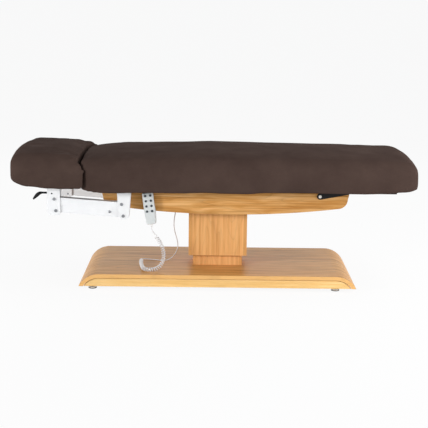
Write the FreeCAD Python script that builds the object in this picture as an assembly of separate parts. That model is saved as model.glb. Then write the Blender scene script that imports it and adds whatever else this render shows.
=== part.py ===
import FreeCAD, Part
import math
import os

# Spa bed: a padded top with a separate headrest on a wooden telescopic column and a curved wooden base.
# Millimetres. +X runs from the head to the foot, -Y is the side with the handset, +Z is up.
# The origin is on the floor under the middle of the padded top.

# Padded top
bed_length = 2070.0
bed_width = 780.0
mattress_underside = 512.0
mattress_edge_height = 172.0
mattress_crown = 12.0
mattress_top_radius = 38.0
mattress_lower_radius = 18.0
mattress_side_tuck = 7.0
foot_end_depth = 105.0
foot_corner_draw = 55.0
foot_top_drop = 84.0
foot_underside_rise = 36.0
end_radius_share = 0.6
neck_line_x = -662.0
neck_bulge = 28.0
neck_gap = 11.0
deck_thickness = 15.0
deck_inset = 130.0

# Headrest
headrest_underside = 528.0
headrest_edge_height = 166.0
headrest_crown = 16.0
head_end_depth = 72.0
head_corner_draw = 30.0
head_top_drop = 58.0
head_underside_rise = 50.0
headrest_board_thickness = 15.0
headrest_board_inset = 26.0
headrest_board_side_inset = 130.0
headrest_board_length = 158.0

# Column and sleeves
column_x = 19.0
sleeve_panel = 16.0
upper_sleeve_width = 306.0
upper_sleeve_depth = 254.0
upper_sleeve_bottom = 137.0
lower_sleeve_width = 258.0
lower_sleeve_depth = 202.0
lower_sleeve_top = 358.0
outer_tube_width = 150.0
outer_tube_depth = 120.0
outer_tube_top = 352.0
tube_wall = 4.0
glide_thickness = 3.0
glide_height = 40.0
inner_tube_bottom = 90.0
running_gap = 0.3
flange_thickness = 10.0
flange_margin = 25.0
flange_bolt_inset = 13.0
bolt_radius = 5.0
bolt_head_radius = 8.5
bolt_head_height = 6.0
bolt_clearance = 0.2

# Base
base_length = 1420.0
base_width = 693.0
base_underside = 18.0
base_top = 81.0
base_end_radius = 118.0
base_board = 20.0
base_panel = 18.0
base_panel_recess = 4.0
base_groove = 2.5
chassis_tube = 40.0
chassis_wall = 3.0
chassis_lift = 2.0
head_feet_reach = 641.0
foot_feet_reach = 606.0
foot_radius = 21.5
foot_neck_radius = 9.0
foot_rim = 2.0
foot_body_height = 14.0
stud_radius = 5.0
stud_length = 24.0
boss_radius = 11.0
pivot_clearance = 0.05

# Wooden frame
frame_head_x = -583.0
frame_foot_x = 694.0
frame_width = 450.0
frame_bottom = 376.0
frame_bottom_mid_x = 70.0
frame_bottom_radius = 4600.0
frame_end_rise = 48.0
frame_end_lean = 18.0
frame_panel = 22.0
end_board = 20.0
end_board_setback = 26.0
rail_width = 40.0
rail_height = 30.0
cross_rail_head_x = -380.0

# Leg section
knee_x = 541.0
knee_z = 476.0
leg_range_deg = 20.0
leg_deck_gap = 16.0
strap_length = 150.0
strap_eye_radius = 16.0
strap_tip_height = 9.0
strap_thickness = 6.0
strap_gap = 1.0
knee_bolt_radius = 6.0
knee_head_radius = 8.0
knee_head_height = 5.0
pad_joint_gap = 0.4
crank_drop = 60.0
crank_plate = 8.0
crank_half_width = 15.0
crank_pin_radius = 6.0
crank_slot_reach = 6.0
crank_slot_play = 0.8
actuator_radius = 24.0
actuator_length = 190.0
actuator_rod_radius = 9.0
actuator_rod_reach = 90.0
rod_fork_gap = 0.6

# Headrest arms
arm_length = 344.0
arm_rise = 24.0
arm_pivot_x = -474.0
arm_pivot_z = 433.0
arm_pivot_drop = 60.0
arm_pivot_shift = 8.0
arm_outer_lip = 9.0
arm_inner_lip = 30.0
arm_nesting = 6.0
arm_wall = 3.0
arm_side_gap = 0.5
arm_pin_radius = 5.0
arm_pin_head_radius = 8.0
arm_pin_head_height = 4.0
bracket_plate = 4.0
bracket_inner_width = 44.0
bracket_offset = 7.0
bracket_head_reach = 24.0
bracket_foot_reach = 47.0
bracket_taper = 10.0
bracket_tail = 18.0
clevis_head_reach = 36.0
clevis_foot_reach = 30.0
clevis_tail = 23.0
arm_web_cutback = 34.0

# Gas spring and release lever
spring_pin_along = 71.0
spring_pin_above = 15.0
spring_pin_head_radius = 7.0
spring_pin_head_height = 2.5
spring_cylinder_radius = 11.0
spring_cylinder_length = 150.0
spring_rod_radius = 4.5
spring_eye_radius = 9.0
spring_eye_play = 1.0
spring_eye_width = 12.0
lever_pivot_back = 12.0
lever_pivot_up = 28.0
lever_thickness = 6.0
lever_height = 10.0
lever_arm = 62.0
lever_grip_run = 34.0
lever_grip_drop = 26.0
lever_pin_radius = 4.0
lever_grip_thickness = 16.0
lever_grip_swell = 1.5

# Handset, holder and controls
handset_x = -344.0
handset_top = 489.0
handset_length = 164.0
handset_width = 56.0
handset_tilt_deg = 7.0
handset_half_thickness = 12.0
handset_corner = 10.0
handset_wall = 2.5
holder_depth = 12.0
holder_width = 30.0
holder_height = 46.0
button_radius = 6.2
button_pitch_across = 26.0
button_pitch_along = 27.0
button_first_row = 14.0
button_rows = 4
button_height = 2.4
button_stem_radius = 3.0
button_stem_length = 3.0
button_travel = 1.2
button_gap = 0.3
control_box_length = 210.0
control_box_width = 120.0
control_box_height = 52.0
control_box_x = -246.0

# Cord
cord_radius = 2.3
curl_radius = 8.8
curl_count = 42
curl_ramp = 1.5
gland_radius = 6.0
gland_length = 16.0
lead_points = [
    (-312.0, -249.0, 283.0),
    (-304.5, -249.5, 270.0),
]
curl_points = [
    (-297.0, -250.0, 258.0),
    (-281.0, -250.0, 235.0),
    (-268.0, -250.0, 208.0),
    (-260.0, -250.0, 177.0),
    (-259.5, -250.0, 147.0),
    (-268.0, -252.0, 121.0),
    (-283.0, -259.0, 102.0),
    (-303.0, -271.0, 94.0),
    (-325.0, -278.0, 93.0),
    (-346.0, -275.0, 93.0),
    (-361.0, -260.0, 93.0),
    (-369.0, -232.0, 93.0),
    (-375.0, -192.0, 93.0),
    (-381.0, -148.0, 93.0),
    (-385.0, -104.0, 93.0),
    (-386.0, -62.0, 93.0),
    (-382.0, -30.0, 93.0),
]
tail_points = [
    (-377.0, -13.0, 90.0),
    (-366.0, -1.0, 87.0),
    (-346.0, 3.0, 84.5),
    (-318.0, -4.0, 84.0),
    (-290.0, -18.0, 84.0),
    (-262.0, -23.0, 84.4),
    (-240.0, -18.0, 89.0),
    (-221.0, -10.0, 101.0),
    (-205.0, -5.0, 121.0),
    (-195.0, -2.0, 146.0),
    (-193.0, -1.0, 170.0),
    (-198.0, -0.5, 196.0),
    (-207.0, 0.0, 224.0),
    (-214.5, 0.0, 256.0),
    (-216.0, 0.0, 288.0),
    (-212.0, 0.0, 318.0),
    (-207.0, 0.0, 346.0),
    (-205.0, 0.0, 374.0),
]

vector = FreeCAD.Vector
along_x = vector(1, 0, 0)
along_y = vector(0, 1, 0)
along_z = vector(0, 0, 1)
origin = vector(0, 0, 0)

bed_head_x = -bed_length / 2
bed_foot_x = bed_length / 2
half_width = bed_width / 2
frame_top = mattress_underside - deck_thickness
panel_face = frame_width / 2
column_top = frame_top - rail_height

os.makedirs("parts", exist_ok=True)


def save(name, *solids):
    shape = solids[0]
    if len(solids) > 1:
        shape = Part.makeCompound(list(solids))
    shape.exportStep("parts/" + name + ".step")
    print(name, "solids", len(shape.Solids), "volume", round(shape.Volume), "valid", shape.isValid())


def block(x_range, y_range, z_range):
    size = (x_range[1] - x_range[0], y_range[1] - y_range[0], z_range[1] - z_range[0])
    return Part.makeBox(*size, vector(x_range[0], y_range[0], z_range[0]))


def centred(middle, size):
    return (middle - size / 2, middle + size / 2)


def mirrored(shape):
    return shape.mirror(origin, along_y)


def outline(start, steps):
    # A step is a point in XZ for a line, or a pair of points for an arc through the first to the second.
    edges = []
    here = vector(start[0], 0, start[1])
    for step in steps:
        if isinstance(step[0], tuple):
            through = vector(step[0][0], 0, step[0][1])
            there = vector(step[1][0], 0, step[1][1])
            edges.append(Part.Arc(here, through, there).toShape())
        else:
            there = vector(step[0], 0, step[1])
            edges.append(Part.LineSegment(here, there).toShape())
        here = there
    return Part.Wire(edges)


def slab(wire, y_range):
    shape = Part.Face(wire).extrude(vector(0, y_range[1] - y_range[0], 0))
    shape.translate(vector(0, y_range[0], 0))
    return shape


def polygon(points):
    return outline(points[0], points[1:] + [points[0]])


def pin(x, z, radius, y_range):
    return Part.makeCylinder(radius, y_range[1] - y_range[0], vector(x, y_range[0], z), along_y)


def box_tube(x_range, y_range, z_range, wall, axis):
    outer = block(x_range, y_range, z_range)
    ranges = [x_range, y_range, z_range]
    inner = []
    for number, span in enumerate(ranges):
        inner.append(span if number == axis else (span[0] + wall, span[1] - wall))
    return outer.cut(block(*inner))


# Padded pieces: closed cross sections through the pad, lofted along its length

def pad_section(x, half, bottom, edge_top, crown, top_radius, lower_radius):
    tuck = mattress_side_tuck
    side_mid = (bottom + lower_radius + edge_top - top_radius) / 2
    diagonal = 1 - math.sqrt(0.5)
    inner = half - top_radius
    foot = half - tuck - lower_radius
    right = [
        (foot, bottom),
        (half - tuck - lower_radius * diagonal, bottom + lower_radius * diagonal),
        (half - tuck, bottom + lower_radius),
        (half, side_mid),
        (half - tuck / 2, edge_top - top_radius),
        (half - tuck / 2 - top_radius * diagonal, edge_top - top_radius * diagonal),
        (inner - tuck / 2, edge_top),
    ]
    points = [vector(x, y, z) for y, z in right]
    opposite = [vector(x, -y, z) for y, z in right]
    crest = vector(x, 0, edge_top + crown)
    edges = [
        Part.LineSegment(opposite[0], points[0]).toShape(),
        Part.Arc(points[0], points[1], points[2]).toShape(),
        Part.Arc(points[2], points[3], points[4]).toShape(),
        Part.Arc(points[4], points[5], points[6]).toShape(),
        Part.Arc(points[6], crest, opposite[6]).toShape(),
        Part.Arc(opposite[6], opposite[5], opposite[4]).toShape(),
        Part.Arc(opposite[4], opposite[3], opposite[2]).toShape(),
        Part.Arc(opposite[2], opposite[1], opposite[0]).toShape(),
    ]
    return Part.Wire(edges)


def pad(plain_x, end_x, bottom, edge_height, crown, depth, corner_draw, top_drop, underside_rise):
    # The far end rounds off in quarter steps of an ellipse.
    direction = math.copysign(1, end_x - plain_x)
    sections = [pad_section(plain_x, half_width, bottom, bottom + edge_height, crown,
                            mattress_top_radius, mattress_lower_radius)]
    for step in range(7):
        angle = math.radians(15 * step)
        x = end_x - direction * depth * (1 - math.sin(angle))
        shrink = 1 - math.cos(angle)
        tighter = 1 - (1 - end_radius_share) * shrink
        sections.append(pad_section(x, half_width - corner_draw * shrink, bottom + underside_rise * shrink,
                                    bottom + edge_height - top_drop * shrink, crown * tighter,
                                    mattress_top_radius * tighter, mattress_lower_radius * tighter))
    return Part.makeLoft(sections, True, True)


def neck_plan(x_far, offset):
    # The plan of everything on one side of the curved neck line, moved along X by the offset.
    reach = half_width + neck_bulge
    z = mattress_underside - mattress_edge_height
    tip = vector(neck_line_x - neck_bulge + offset, 0, z)
    near = vector(neck_line_x + offset, -reach, z)
    far = vector(neck_line_x + offset, reach, z)
    edges = [
        Part.Arc(near, tip, far).toShape(),
        Part.LineSegment(far, vector(x_far, reach, z)).toShape(),
        Part.LineSegment(vector(x_far, reach, z), vector(x_far, -reach, z)).toShape(),
        Part.LineSegment(vector(x_far, -reach, z), near).toShape(),
    ]
    return Part.Face(Part.Wire(edges)).extrude(vector(0, 0, 4 * mattress_edge_height))


def knee_side(sign, gap):
    # A prism on one side of the fold, whose face leans back from the knee axis by half the leg's travel.
    lean = math.tan(math.radians(leg_range_deg / 2 + 0.5))
    rise = 2 * mattress_edge_height
    x_low = knee_x + sign * gap
    far = knee_x + sign * 2 * bed_length
    top = knee_z + rise
    points = [(x_low, knee_z), (x_low + sign * rise * lean, top), (far, top), (far, knee_z)]
    return slab(polygon(points), (-bed_width, bed_width))


whole_pad = pad(neck_line_x - 2 * neck_bulge, bed_foot_x, mattress_underside, mattress_edge_height,
                mattress_crown, foot_end_depth, foot_corner_draw, foot_top_drop, foot_underside_rise)
whole_pad = whole_pad.common(neck_plan(bed_foot_x + foot_end_depth, 0))
head_side = knee_side(-1, pad_joint_gap)
foot_side = knee_side(1, pad_joint_gap)
save("main_mattress", whole_pad.common(head_side))
save("leg_mattress", whole_pad.common(foot_side))
fold = whole_pad.cut(knee_side(-1, 0)).cut(knee_side(1, 0))
save("knee_foam", fold)

headrest = pad(neck_line_x + neck_bulge, bed_head_x, headrest_underside, headrest_edge_height,
               headrest_crown, head_end_depth, head_corner_draw, head_top_drop, head_underside_rise)
headrest = headrest.cut(neck_plan(bed_foot_x, -neck_gap))
save("headrest_pad", headrest)


# Decks under the pads
deck_z = (frame_top, mattress_underside)
deck_y = centred(0, bed_width - 2 * deck_inset)
main_deck = block((neck_line_x + deck_inset / 2, knee_x), deck_y, deck_z)
leg_deck = block((knee_x + leg_deck_gap, bed_foot_x - foot_end_depth), deck_y, deck_z)
headrest_board_z = (headrest_underside - headrest_board_thickness, headrest_underside)
headrest_board_y = centred(0, bed_width - 2 * headrest_board_side_inset)
headrest_board_end = neck_line_x - neck_bulge - neck_gap - headrest_board_inset
headrest_board_x = (headrest_board_end - headrest_board_length, headrest_board_end)
save("main_deck", main_deck)
save("headrest_board", block(headrest_board_x, headrest_board_y, headrest_board_z))


# Base: a board bent down over both ends, side panels set back in it and a welded steel chassis

def base_arch(radius, top):
    # Half outline of the base's end in XZ, from the floor side up to the flat top.
    centre_z = base_top - base_end_radius
    centre_x = base_length / 2 - math.sqrt(base_end_radius ** 2 - (base_underside - centre_z) ** 2)
    reach = math.sqrt(radius ** 2 - (base_underside - centre_z) ** 2)
    half = math.atan2(base_underside - centre_z, reach) / 2 + math.pi / 4
    tip = (centre_x + reach, base_underside)
    middle = (centre_x + radius * math.cos(half), centre_z + radius * math.sin(half))
    shoulder = (centre_x, top)
    return tip, middle, shoulder


def base_outline(radius, top):
    tip, middle, shoulder = base_arch(radius, top)
    flip = [(2 * column_x - (p[0] + column_x), p[1]) for p in (shoulder, middle, tip)]
    place = [(p[0] + column_x, p[1]) for p in (tip, middle, shoulder)]
    steps = [(place[1], place[2]), flip[0], (flip[1], flip[2]), place[0]]
    return outline(place[0], steps)


flange_width = outer_tube_width + 2 * flange_margin
flange_depth = outer_tube_depth + 2 * flange_margin
board_under = base_top - base_board
base_y = centred(0, base_width)
opening = block(centred(column_x, flange_width + 2 * bolt_clearance),
                centred(0, flange_depth + 2 * bolt_clearance), (base_underside, base_top + base_board))
top_board = slab(base_outline(base_end_radius, base_top), base_y)
top_board = top_board.cut(slab(base_outline(base_end_radius - base_board, board_under), base_y)).cut(opening)
save("base_top_board", top_board)

panel_outer = base_width / 2 - base_panel_recess
panel_wire = base_outline(base_end_radius - base_board - base_groove, board_under - base_groove)
side_panel = slab(panel_wire, (-panel_outer, -panel_outer + base_panel))
save("base_side_panels", side_panel, mirrored(side_panel))
rail_wire = base_outline(base_end_radius - base_board - running_gap, board_under - running_gap)

chassis_z = (base_underside + chassis_lift, board_under)
rail_outer = panel_outer - base_panel
rail_y = (-rail_outer, -rail_outer + chassis_tube)
foot_y = -rail_outer + chassis_tube / 2
rail_x = (column_x - head_feet_reach - chassis_tube / 2, column_x + foot_feet_reach + chassis_tube / 2)
near_rail = box_tube(rail_x, rail_y, chassis_z, chassis_wall, 0).common(slab(rail_wire, rail_y))
tie_y = (-rail_outer + chassis_tube, rail_outer - chassis_tube)
bolt_x = flange_width / 2 - flange_bolt_inset
bolt_y = flange_depth / 2 - flange_bolt_inset
foot_xs = (column_x - head_feet_reach, column_x + foot_feet_reach)
boss_height = foot_body_height + stud_length + chassis_lift - chassis_z[0]
for x in foot_xs:
    near_rail = near_rail.fuse(Part.makeCylinder(boss_radius, boss_height, vector(x, foot_y, chassis_z[0])))
for x in foot_xs:
    bore = Part.makeCylinder(stud_radius + pivot_clearance, boss_height + 2 * chassis_wall,
                             vector(x, foot_y, chassis_z[0] - chassis_wall))
    near_rail = near_rail.cut(bore)
ties = [block(centred(x, chassis_tube), tie_y, chassis_z).common(slab(rail_wire, tie_y)) for x in foot_xs]
column_ties = [block(centred(column_x + i * bolt_x, chassis_tube), tie_y, chassis_z) for i in (-1, 1)]
feet_places = [(x, y) for x in foot_xs for y in (foot_y, -foot_y)]


def corner_places(half_x, half_y):
    return [(column_x + i * half_x, j * half_y) for i in (-1, 1) for j in (-1, 1)]


bolt_depth = chassis_tube / 2
base_flange = block(centred(column_x, flange_width), centred(0, flange_depth),
                    (board_under, board_under + flange_thickness))
base_bolts = []
for x, y in corner_places(bolt_x, bolt_y):
    hole = Part.makeCylinder(bolt_radius + bolt_clearance, bolt_depth + flange_thickness,
                             vector(x, y, board_under - bolt_depth))
    column_ties = [tie.cut(hole) for tie in column_ties]
    base_flange = base_flange.cut(hole)
    shank = Part.makeCylinder(bolt_radius, bolt_depth + flange_thickness - bolt_clearance,
                              vector(x, y, board_under - bolt_depth + bolt_clearance))
    head = Part.makeCylinder(bolt_head_radius, bolt_head_height, vector(x, y, board_under + flange_thickness))
    base_bolts.append(shank.fuse(head))
save("base_chassis", near_rail, mirrored(near_rail), *ties, *column_ties)
save("column_base_flange", base_flange)
save("base_flange_bolts", *base_bolts)


# Levelling feet: a turned disc with a stud that turns in the chassis

def levelling_foot(x, y):
    steps = [
        (foot_radius - foot_rim, 0),
        (foot_radius, foot_rim),
        (foot_radius, foot_body_height - foot_rim),
        (foot_radius - foot_rim, foot_body_height),
        (foot_neck_radius, foot_body_height),
        (foot_neck_radius, chassis_z[0] - running_gap),
        (stud_radius, chassis_z[0] - running_gap),
        (stud_radius, foot_body_height + stud_length),
        (0, foot_body_height + stud_length),
        (0, 0),
    ]
    foot = Part.Face(outline((0, 0), steps)).revolve(origin, along_z, 360)
    foot.translate(vector(x, y, 0))
    return foot


foot_names = ("foot_head_near", "foot_head_far", "foot_end_near", "foot_end_far")
for name, place in zip(foot_names, feet_places):
    save("levelling_" + name, levelling_foot(*place))


# Column: square tubes that slide in each other, inside wooden sleeves

tube_bottom = board_under + flange_thickness
outer_x = centred(column_x, outer_tube_width)
outer_y = centred(0, outer_tube_depth)
inner_x = centred(column_x, outer_tube_width - 2 * (tube_wall + glide_thickness))
inner_y = centred(0, outer_tube_depth - 2 * (tube_wall + glide_thickness))
top_flange_z = (column_top - flange_thickness, column_top)
save("column_outer_tube", box_tube(outer_x, outer_y, (tube_bottom, outer_tube_top), tube_wall, 2))
save("column_inner_tube", box_tube(inner_x, inner_y, (inner_tube_bottom, top_flange_z[0]), tube_wall, 2))
glide_outer_x = (outer_x[0] + tube_wall, outer_x[1] - tube_wall)
glide_outer_y = (outer_y[0] + tube_wall, outer_y[1] - tube_wall)
save("column_glide", box_tube(glide_outer_x, glide_outer_y, (outer_tube_top - glide_height, outer_tube_top),
                              glide_thickness - running_gap, 2))


def sleeve(width, depth, z_range):
    # Face panels sit between the side panels.
    x = centred(column_x, width)
    y = centred(0, depth)
    face = block((x[0] + sleeve_panel, x[1] - sleeve_panel), (y[0], y[0] + sleeve_panel), z_range)
    side = block((x[0], x[0] + sleeve_panel), y, z_range)
    other = block((x[1] - sleeve_panel, x[1]), y, z_range)
    return (face, mirrored(face)), (side, other)


faces, sides = sleeve(lower_sleeve_width, lower_sleeve_depth, (base_top, lower_sleeve_top))
save("lower_sleeve_faces", *faces)
save("lower_sleeve_sides", *sides)
faces, sides = sleeve(upper_sleeve_width, upper_sleeve_depth, (upper_sleeve_bottom, column_top))
save("upper_sleeve_faces", *faces)
save("upper_sleeve_sides", *sides)


# Wooden frame: two boat-shaped side panels, end boards and steel rails that carry the deck

def frame_bottom_at(x):
    sag = frame_bottom_radius - math.sqrt(frame_bottom_radius ** 2 - (x - frame_bottom_mid_x) ** 2)
    return frame_bottom + sag


def frame_outline():
    head_turn = frame_head_x + frame_end_rise
    foot_turn = frame_foot_x - frame_end_rise
    head_low = frame_bottom_at(head_turn)
    foot_low = frame_bottom_at(foot_turn)
    mid = (frame_bottom_mid_x, frame_bottom)
    share = 1 - math.sqrt(0.5)
    head_end = (frame_head_x + frame_end_lean / 2, head_low + frame_end_rise)
    foot_end = (frame_foot_x - frame_end_lean / 2, foot_low + frame_end_rise)
    head_mid = (frame_head_x + frame_end_lean / 2 + frame_end_rise * share, head_low + frame_end_rise * share)
    foot_mid = (frame_foot_x - frame_end_lean / 2 - frame_end_rise * share, foot_low + frame_end_rise * share)
    steps = [
        (mid, (foot_turn, foot_low)),
        (foot_mid, foot_end),
        (frame_foot_x, frame_top),
        (frame_head_x, frame_top),
        head_end,
        (head_mid, (head_turn, head_low)),
    ]
    return outline((head_turn, head_low), steps)


knee_bore = pin(knee_x, knee_z, knee_bolt_radius + bolt_clearance, (-frame_width, frame_width))
near_panel = slab(frame_outline(), (-panel_face, -panel_face + frame_panel)).cut(knee_bore)
save("frame_panels", near_panel, mirrored(near_panel))
inside_y = centred(0, frame_width - 2 * frame_panel)
end_boards = []
for x in (frame_head_x + end_board_setback, frame_foot_x - end_board_setback - end_board):
    low = frame_bottom_at(x) + frame_end_rise / 2
    end_boards.append(block((x, x + end_board), inside_y, (low, frame_top)))
save("frame_end_boards", *end_boards)

rail_z = (frame_top - rail_height, frame_top)
rail_span = (frame_head_x + end_board_setback + end_board, knee_x - crank_half_width - strap_eye_radius)
rails = []
for sign in (-1, 1):
    rails.append(block(rail_span, centred(sign * (inside_y[1] - rail_width / 2), rail_width), rail_z))
cross_y = (inside_y[0] + rail_width, inside_y[1] - rail_width)
actuator_x = knee_x - actuator_rod_reach - actuator_length
for x in (cross_rail_head_x, actuator_x + rail_width):
    rails.append(block(centred(x, rail_width), cross_y, rail_z))
column_plate = block(centred(column_x, upper_sleeve_width), cross_y, rail_z)
top_flange = block(centred(column_x, flange_width), centred(0, flange_depth), top_flange_z)
top_bolts = []
for x, y in corner_places(bolt_x, bolt_y):
    hole = Part.makeCylinder(bolt_radius + bolt_clearance, rail_height / 2 + flange_thickness,
                             vector(x, y, top_flange_z[0]))
    top_flange = top_flange.cut(hole)
    column_plate = column_plate.cut(hole)
    shank = Part.makeCylinder(bolt_radius, rail_height / 2 + flange_thickness - bolt_clearance,
                              vector(x, y, top_flange_z[0]))
    head = Part.makeCylinder(bolt_head_radius, bolt_head_height,
                             vector(x, y, top_flange_z[0] - bolt_head_height))
    top_bolts.append(shank.fuse(head))
save("frame_carrier", *rails, column_plate)
save("column_top_flange", top_flange)
save("top_flange_bolts", *top_bolts)


# Leg section: straps on the knee bolts, and a crank that the leg actuator pushes

strap_outer = panel_face + strap_gap + strap_thickness
strap_y = (-strap_outer, -panel_face - strap_gap)
strap_end = knee_x + strap_length
eye_flat = strap_eye_radius * 0.2
eye_reach = strap_eye_radius * 0.98
strap_steps = [
    ((knee_x, knee_z - strap_eye_radius), (knee_x + eye_flat, knee_z - eye_reach)),
    (strap_end, frame_top - strap_tip_height),
    (strap_end, frame_top),
    (knee_x + leg_deck_gap, frame_top),
    (knee_x - eye_flat, knee_z + eye_reach),
    ((knee_x - strap_eye_radius, knee_z), (knee_x - eye_reach, knee_z - eye_flat)),
]
strap = slab(outline((knee_x - eye_reach, knee_z - eye_flat), strap_steps), strap_y)
strap = strap.cut(pin(knee_x, knee_z, knee_bolt_radius + pivot_clearance, (-frame_width, frame_width)))
save("leg_straps", strap, mirrored(strap))
head_y = (-strap_outer - running_gap - knee_head_height, -strap_outer - running_gap)
knee_bolt = pin(knee_x, knee_z, knee_bolt_radius, (head_y[1], -panel_face + frame_panel))
knee_bolt = knee_bolt.fuse(pin(knee_x, knee_z, knee_head_radius, head_y))
save("knee_bolts", knee_bolt, mirrored(knee_bolt))

crank_z = knee_z - crank_drop
crank_points = [
    (knee_x + leg_deck_gap, frame_top),
    (knee_x - crank_half_width, crank_z + crank_drop / 2),
    (knee_x - crank_half_width, crank_z - crank_half_width - crank_slot_reach),
    (knee_x + crank_half_width, crank_z - crank_half_width - crank_slot_reach),
    (knee_x + leg_deck_gap + 4 * crank_half_width, frame_top),
]
slot_radius = crank_pin_radius + crank_slot_play
slot = pin(knee_x, crank_z, slot_radius, (-crank_plate, crank_plate))
slot = slot.fuse(pin(knee_x, crank_z - crank_slot_reach, slot_radius, (-crank_plate, crank_plate)))
slot = slot.fuse(block(centred(knee_x, 2 * slot_radius), (-crank_plate, crank_plate),
                       (crank_z - crank_slot_reach, crank_z)))
crank = slab(polygon(crank_points), centred(0, crank_plate)).cut(slot)
save("leg_crank", crank)
save("leg_deck", leg_deck)

rod_start = knee_x - actuator_rod_reach
body_x = (actuator_x, rod_start)
rod_bore = Part.makeCylinder(actuator_rod_radius + pivot_clearance, actuator_length,
                             vector(body_x[0] + actuator_rod_radius, 0, crank_z), along_x)
actuator = Part.makeCylinder(actuator_radius, actuator_length, vector(body_x[0], 0, crank_z), along_x)
actuator_foot = block((body_x[0], body_x[0] + 2 * rail_width), centred(0, rail_width), (crank_z, rail_z[0]))
actuator = actuator.fuse(actuator_foot).cut(rod_bore).removeSplitter()
save("leg_actuator", actuator)
fork_half = crank_plate / 2 + rod_fork_gap
fork_outer = fork_half + crank_plate / 2
fork_x = (knee_x - 2.5 * crank_half_width, knee_x + crank_pin_radius)
fork = block(fork_x, centred(0, 2 * fork_outer), centred(crank_z, 2 * crank_pin_radius))
fork_slot = block((fork_x[0] + crank_half_width, fork_x[1]), centred(0, 2 * fork_half),
                  centred(crank_z, 4 * crank_pin_radius))
fork = fork.cut(fork_slot)
rod_back = actuator_length / 3
rod = Part.makeCylinder(actuator_rod_radius, actuator_rod_reach + rod_back - 2 * crank_half_width,
                        vector(rod_start - rod_back, 0, crank_z), along_x)
rod = rod.fuse(fork).fuse(pin(knee_x, crank_z, crank_pin_radius, centred(0, 2 * fork_outer)))
save("leg_rod", rod.removeSplitter())


# Headrest arms: two parallel nested channels on each side, between a frame bracket and a headrest bracket

arm_tilt = math.asin(arm_rise / arm_length)
arm_run = arm_length * math.cos(arm_tilt)
upper_right = (arm_pivot_x, arm_pivot_z)
lower_right = (arm_pivot_x + arm_pivot_shift, arm_pivot_z - arm_pivot_drop)
upper_left = (upper_right[0] - arm_run, upper_right[1] + arm_rise)
lower_left = (lower_right[0] - arm_run, lower_right[1] + arm_rise)
arm_inner_face = panel_face + bracket_offset
bracket_inner_y = (-arm_inner_face - bracket_plate - bracket_inner_width, -arm_inner_face - bracket_plate)
bracket_y = (bracket_inner_y[0] - bracket_plate, -arm_inner_face)
upper_y = (bracket_inner_y[0] + arm_side_gap, bracket_inner_y[1] - arm_side_gap)
nest = arm_wall + arm_side_gap
lower_y = (upper_y[0] + nest, upper_y[1] - nest)


def along_arm(start, along, above):
    # A point given by its distance towards the head and its height off the pivot line.
    x = start[0] - along * math.cos(arm_tilt) + above * math.sin(arm_tilt)
    return (x, start[1] + along * math.sin(arm_tilt) + above * math.cos(arm_tilt))


def arm_channel(start, y_range, low, high, web_low, web_high):
    reach = arm_outer_lip + arm_pin_head_radius / 2
    ends = [along_arm(start, -reach, low), along_arm(start, -reach, high),
            along_arm(start, arm_length + reach, high), along_arm(start, arm_length + reach, low)]
    body = slab(polygon(ends), y_range)
    hollow_low = low if web_low is None else low + arm_wall
    hollow_high = high if web_high is None else high - arm_wall
    hollow = [along_arm(start, -2 * reach, hollow_low), along_arm(start, -2 * reach, hollow_high),
              along_arm(start, arm_length + 2 * reach, hollow_high),
              along_arm(start, arm_length + 2 * reach, hollow_low)]
    body = body.cut(slab(polygon(hollow), (y_range[0] + arm_wall, y_range[1] - arm_wall)))
    cut_low, cut_high = (low - arm_wall, high + arm_wall)
    middle_y = (y_range[0] + arm_wall, y_range[1] - arm_wall)
    for span in ((-2 * reach, arm_web_cutback), (arm_length - arm_web_cutback, arm_length + 2 * reach)):
        notch = [along_arm(start, span[0], cut_low), along_arm(start, span[0], cut_high),
                 along_arm(start, span[1], cut_high), along_arm(start, span[1], cut_low)]
        body = body.cut(slab(polygon(notch), middle_y))
    return body


def bored(shape, places, radius):
    for x, z in places:
        shape = shape.cut(pin(x, z, radius, (-bed_width, bed_width)))
    return shape


arm_bore = arm_pin_radius + pivot_clearance
upper_arm = arm_channel(upper_right, upper_y, -arm_inner_lip, arm_outer_lip, None, True)
upper_arm = bored(upper_arm, (upper_right, upper_left), arm_bore)
lower_arm = arm_channel(lower_right, lower_y, -arm_outer_lip, arm_inner_lip + arm_nesting, True, None)
lower_arm = bored(lower_arm, (lower_right, lower_left), arm_bore)
spring_foot = along_arm(lower_right, spring_pin_along, spring_pin_above)
near_lower_arm = bored(lower_arm, (spring_foot,), arm_bore)
save("upper_arms", upper_arm, mirrored(upper_arm))
save("lower_arms", near_lower_arm, mirrored(lower_arm))


def clevis(points, web_z):
    # A folded bracket: two plates that hang from a web.
    body = slab(polygon(points), bracket_y)
    low = min(z for x, z in points)
    x_values = [x for x, z in points]
    hollow = block((min(x_values), max(x_values)), bracket_inner_y, (low, web_z - bracket_plate))
    return body.cut(hollow)


frame_bracket = clevis([
    (upper_right[0] - bracket_head_reach, frame_top),
    (upper_right[0] - bracket_head_reach + bracket_taper, lower_right[1] - bracket_tail + bracket_taper),
    (lower_right[0] - bracket_taper, lower_right[1] - bracket_tail),
    (lower_right[0] + bracket_taper, lower_right[1] - bracket_tail),
    (upper_right[0] + bracket_foot_reach - bracket_taper, lower_right[1] - bracket_tail + bracket_taper),
    (upper_right[0] + bracket_foot_reach, frame_top),
], frame_top)
frame_bracket = bored(frame_bracket, (upper_right, lower_right), arm_bore)
save("frame_brackets", frame_bracket, mirrored(frame_bracket))

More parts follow.
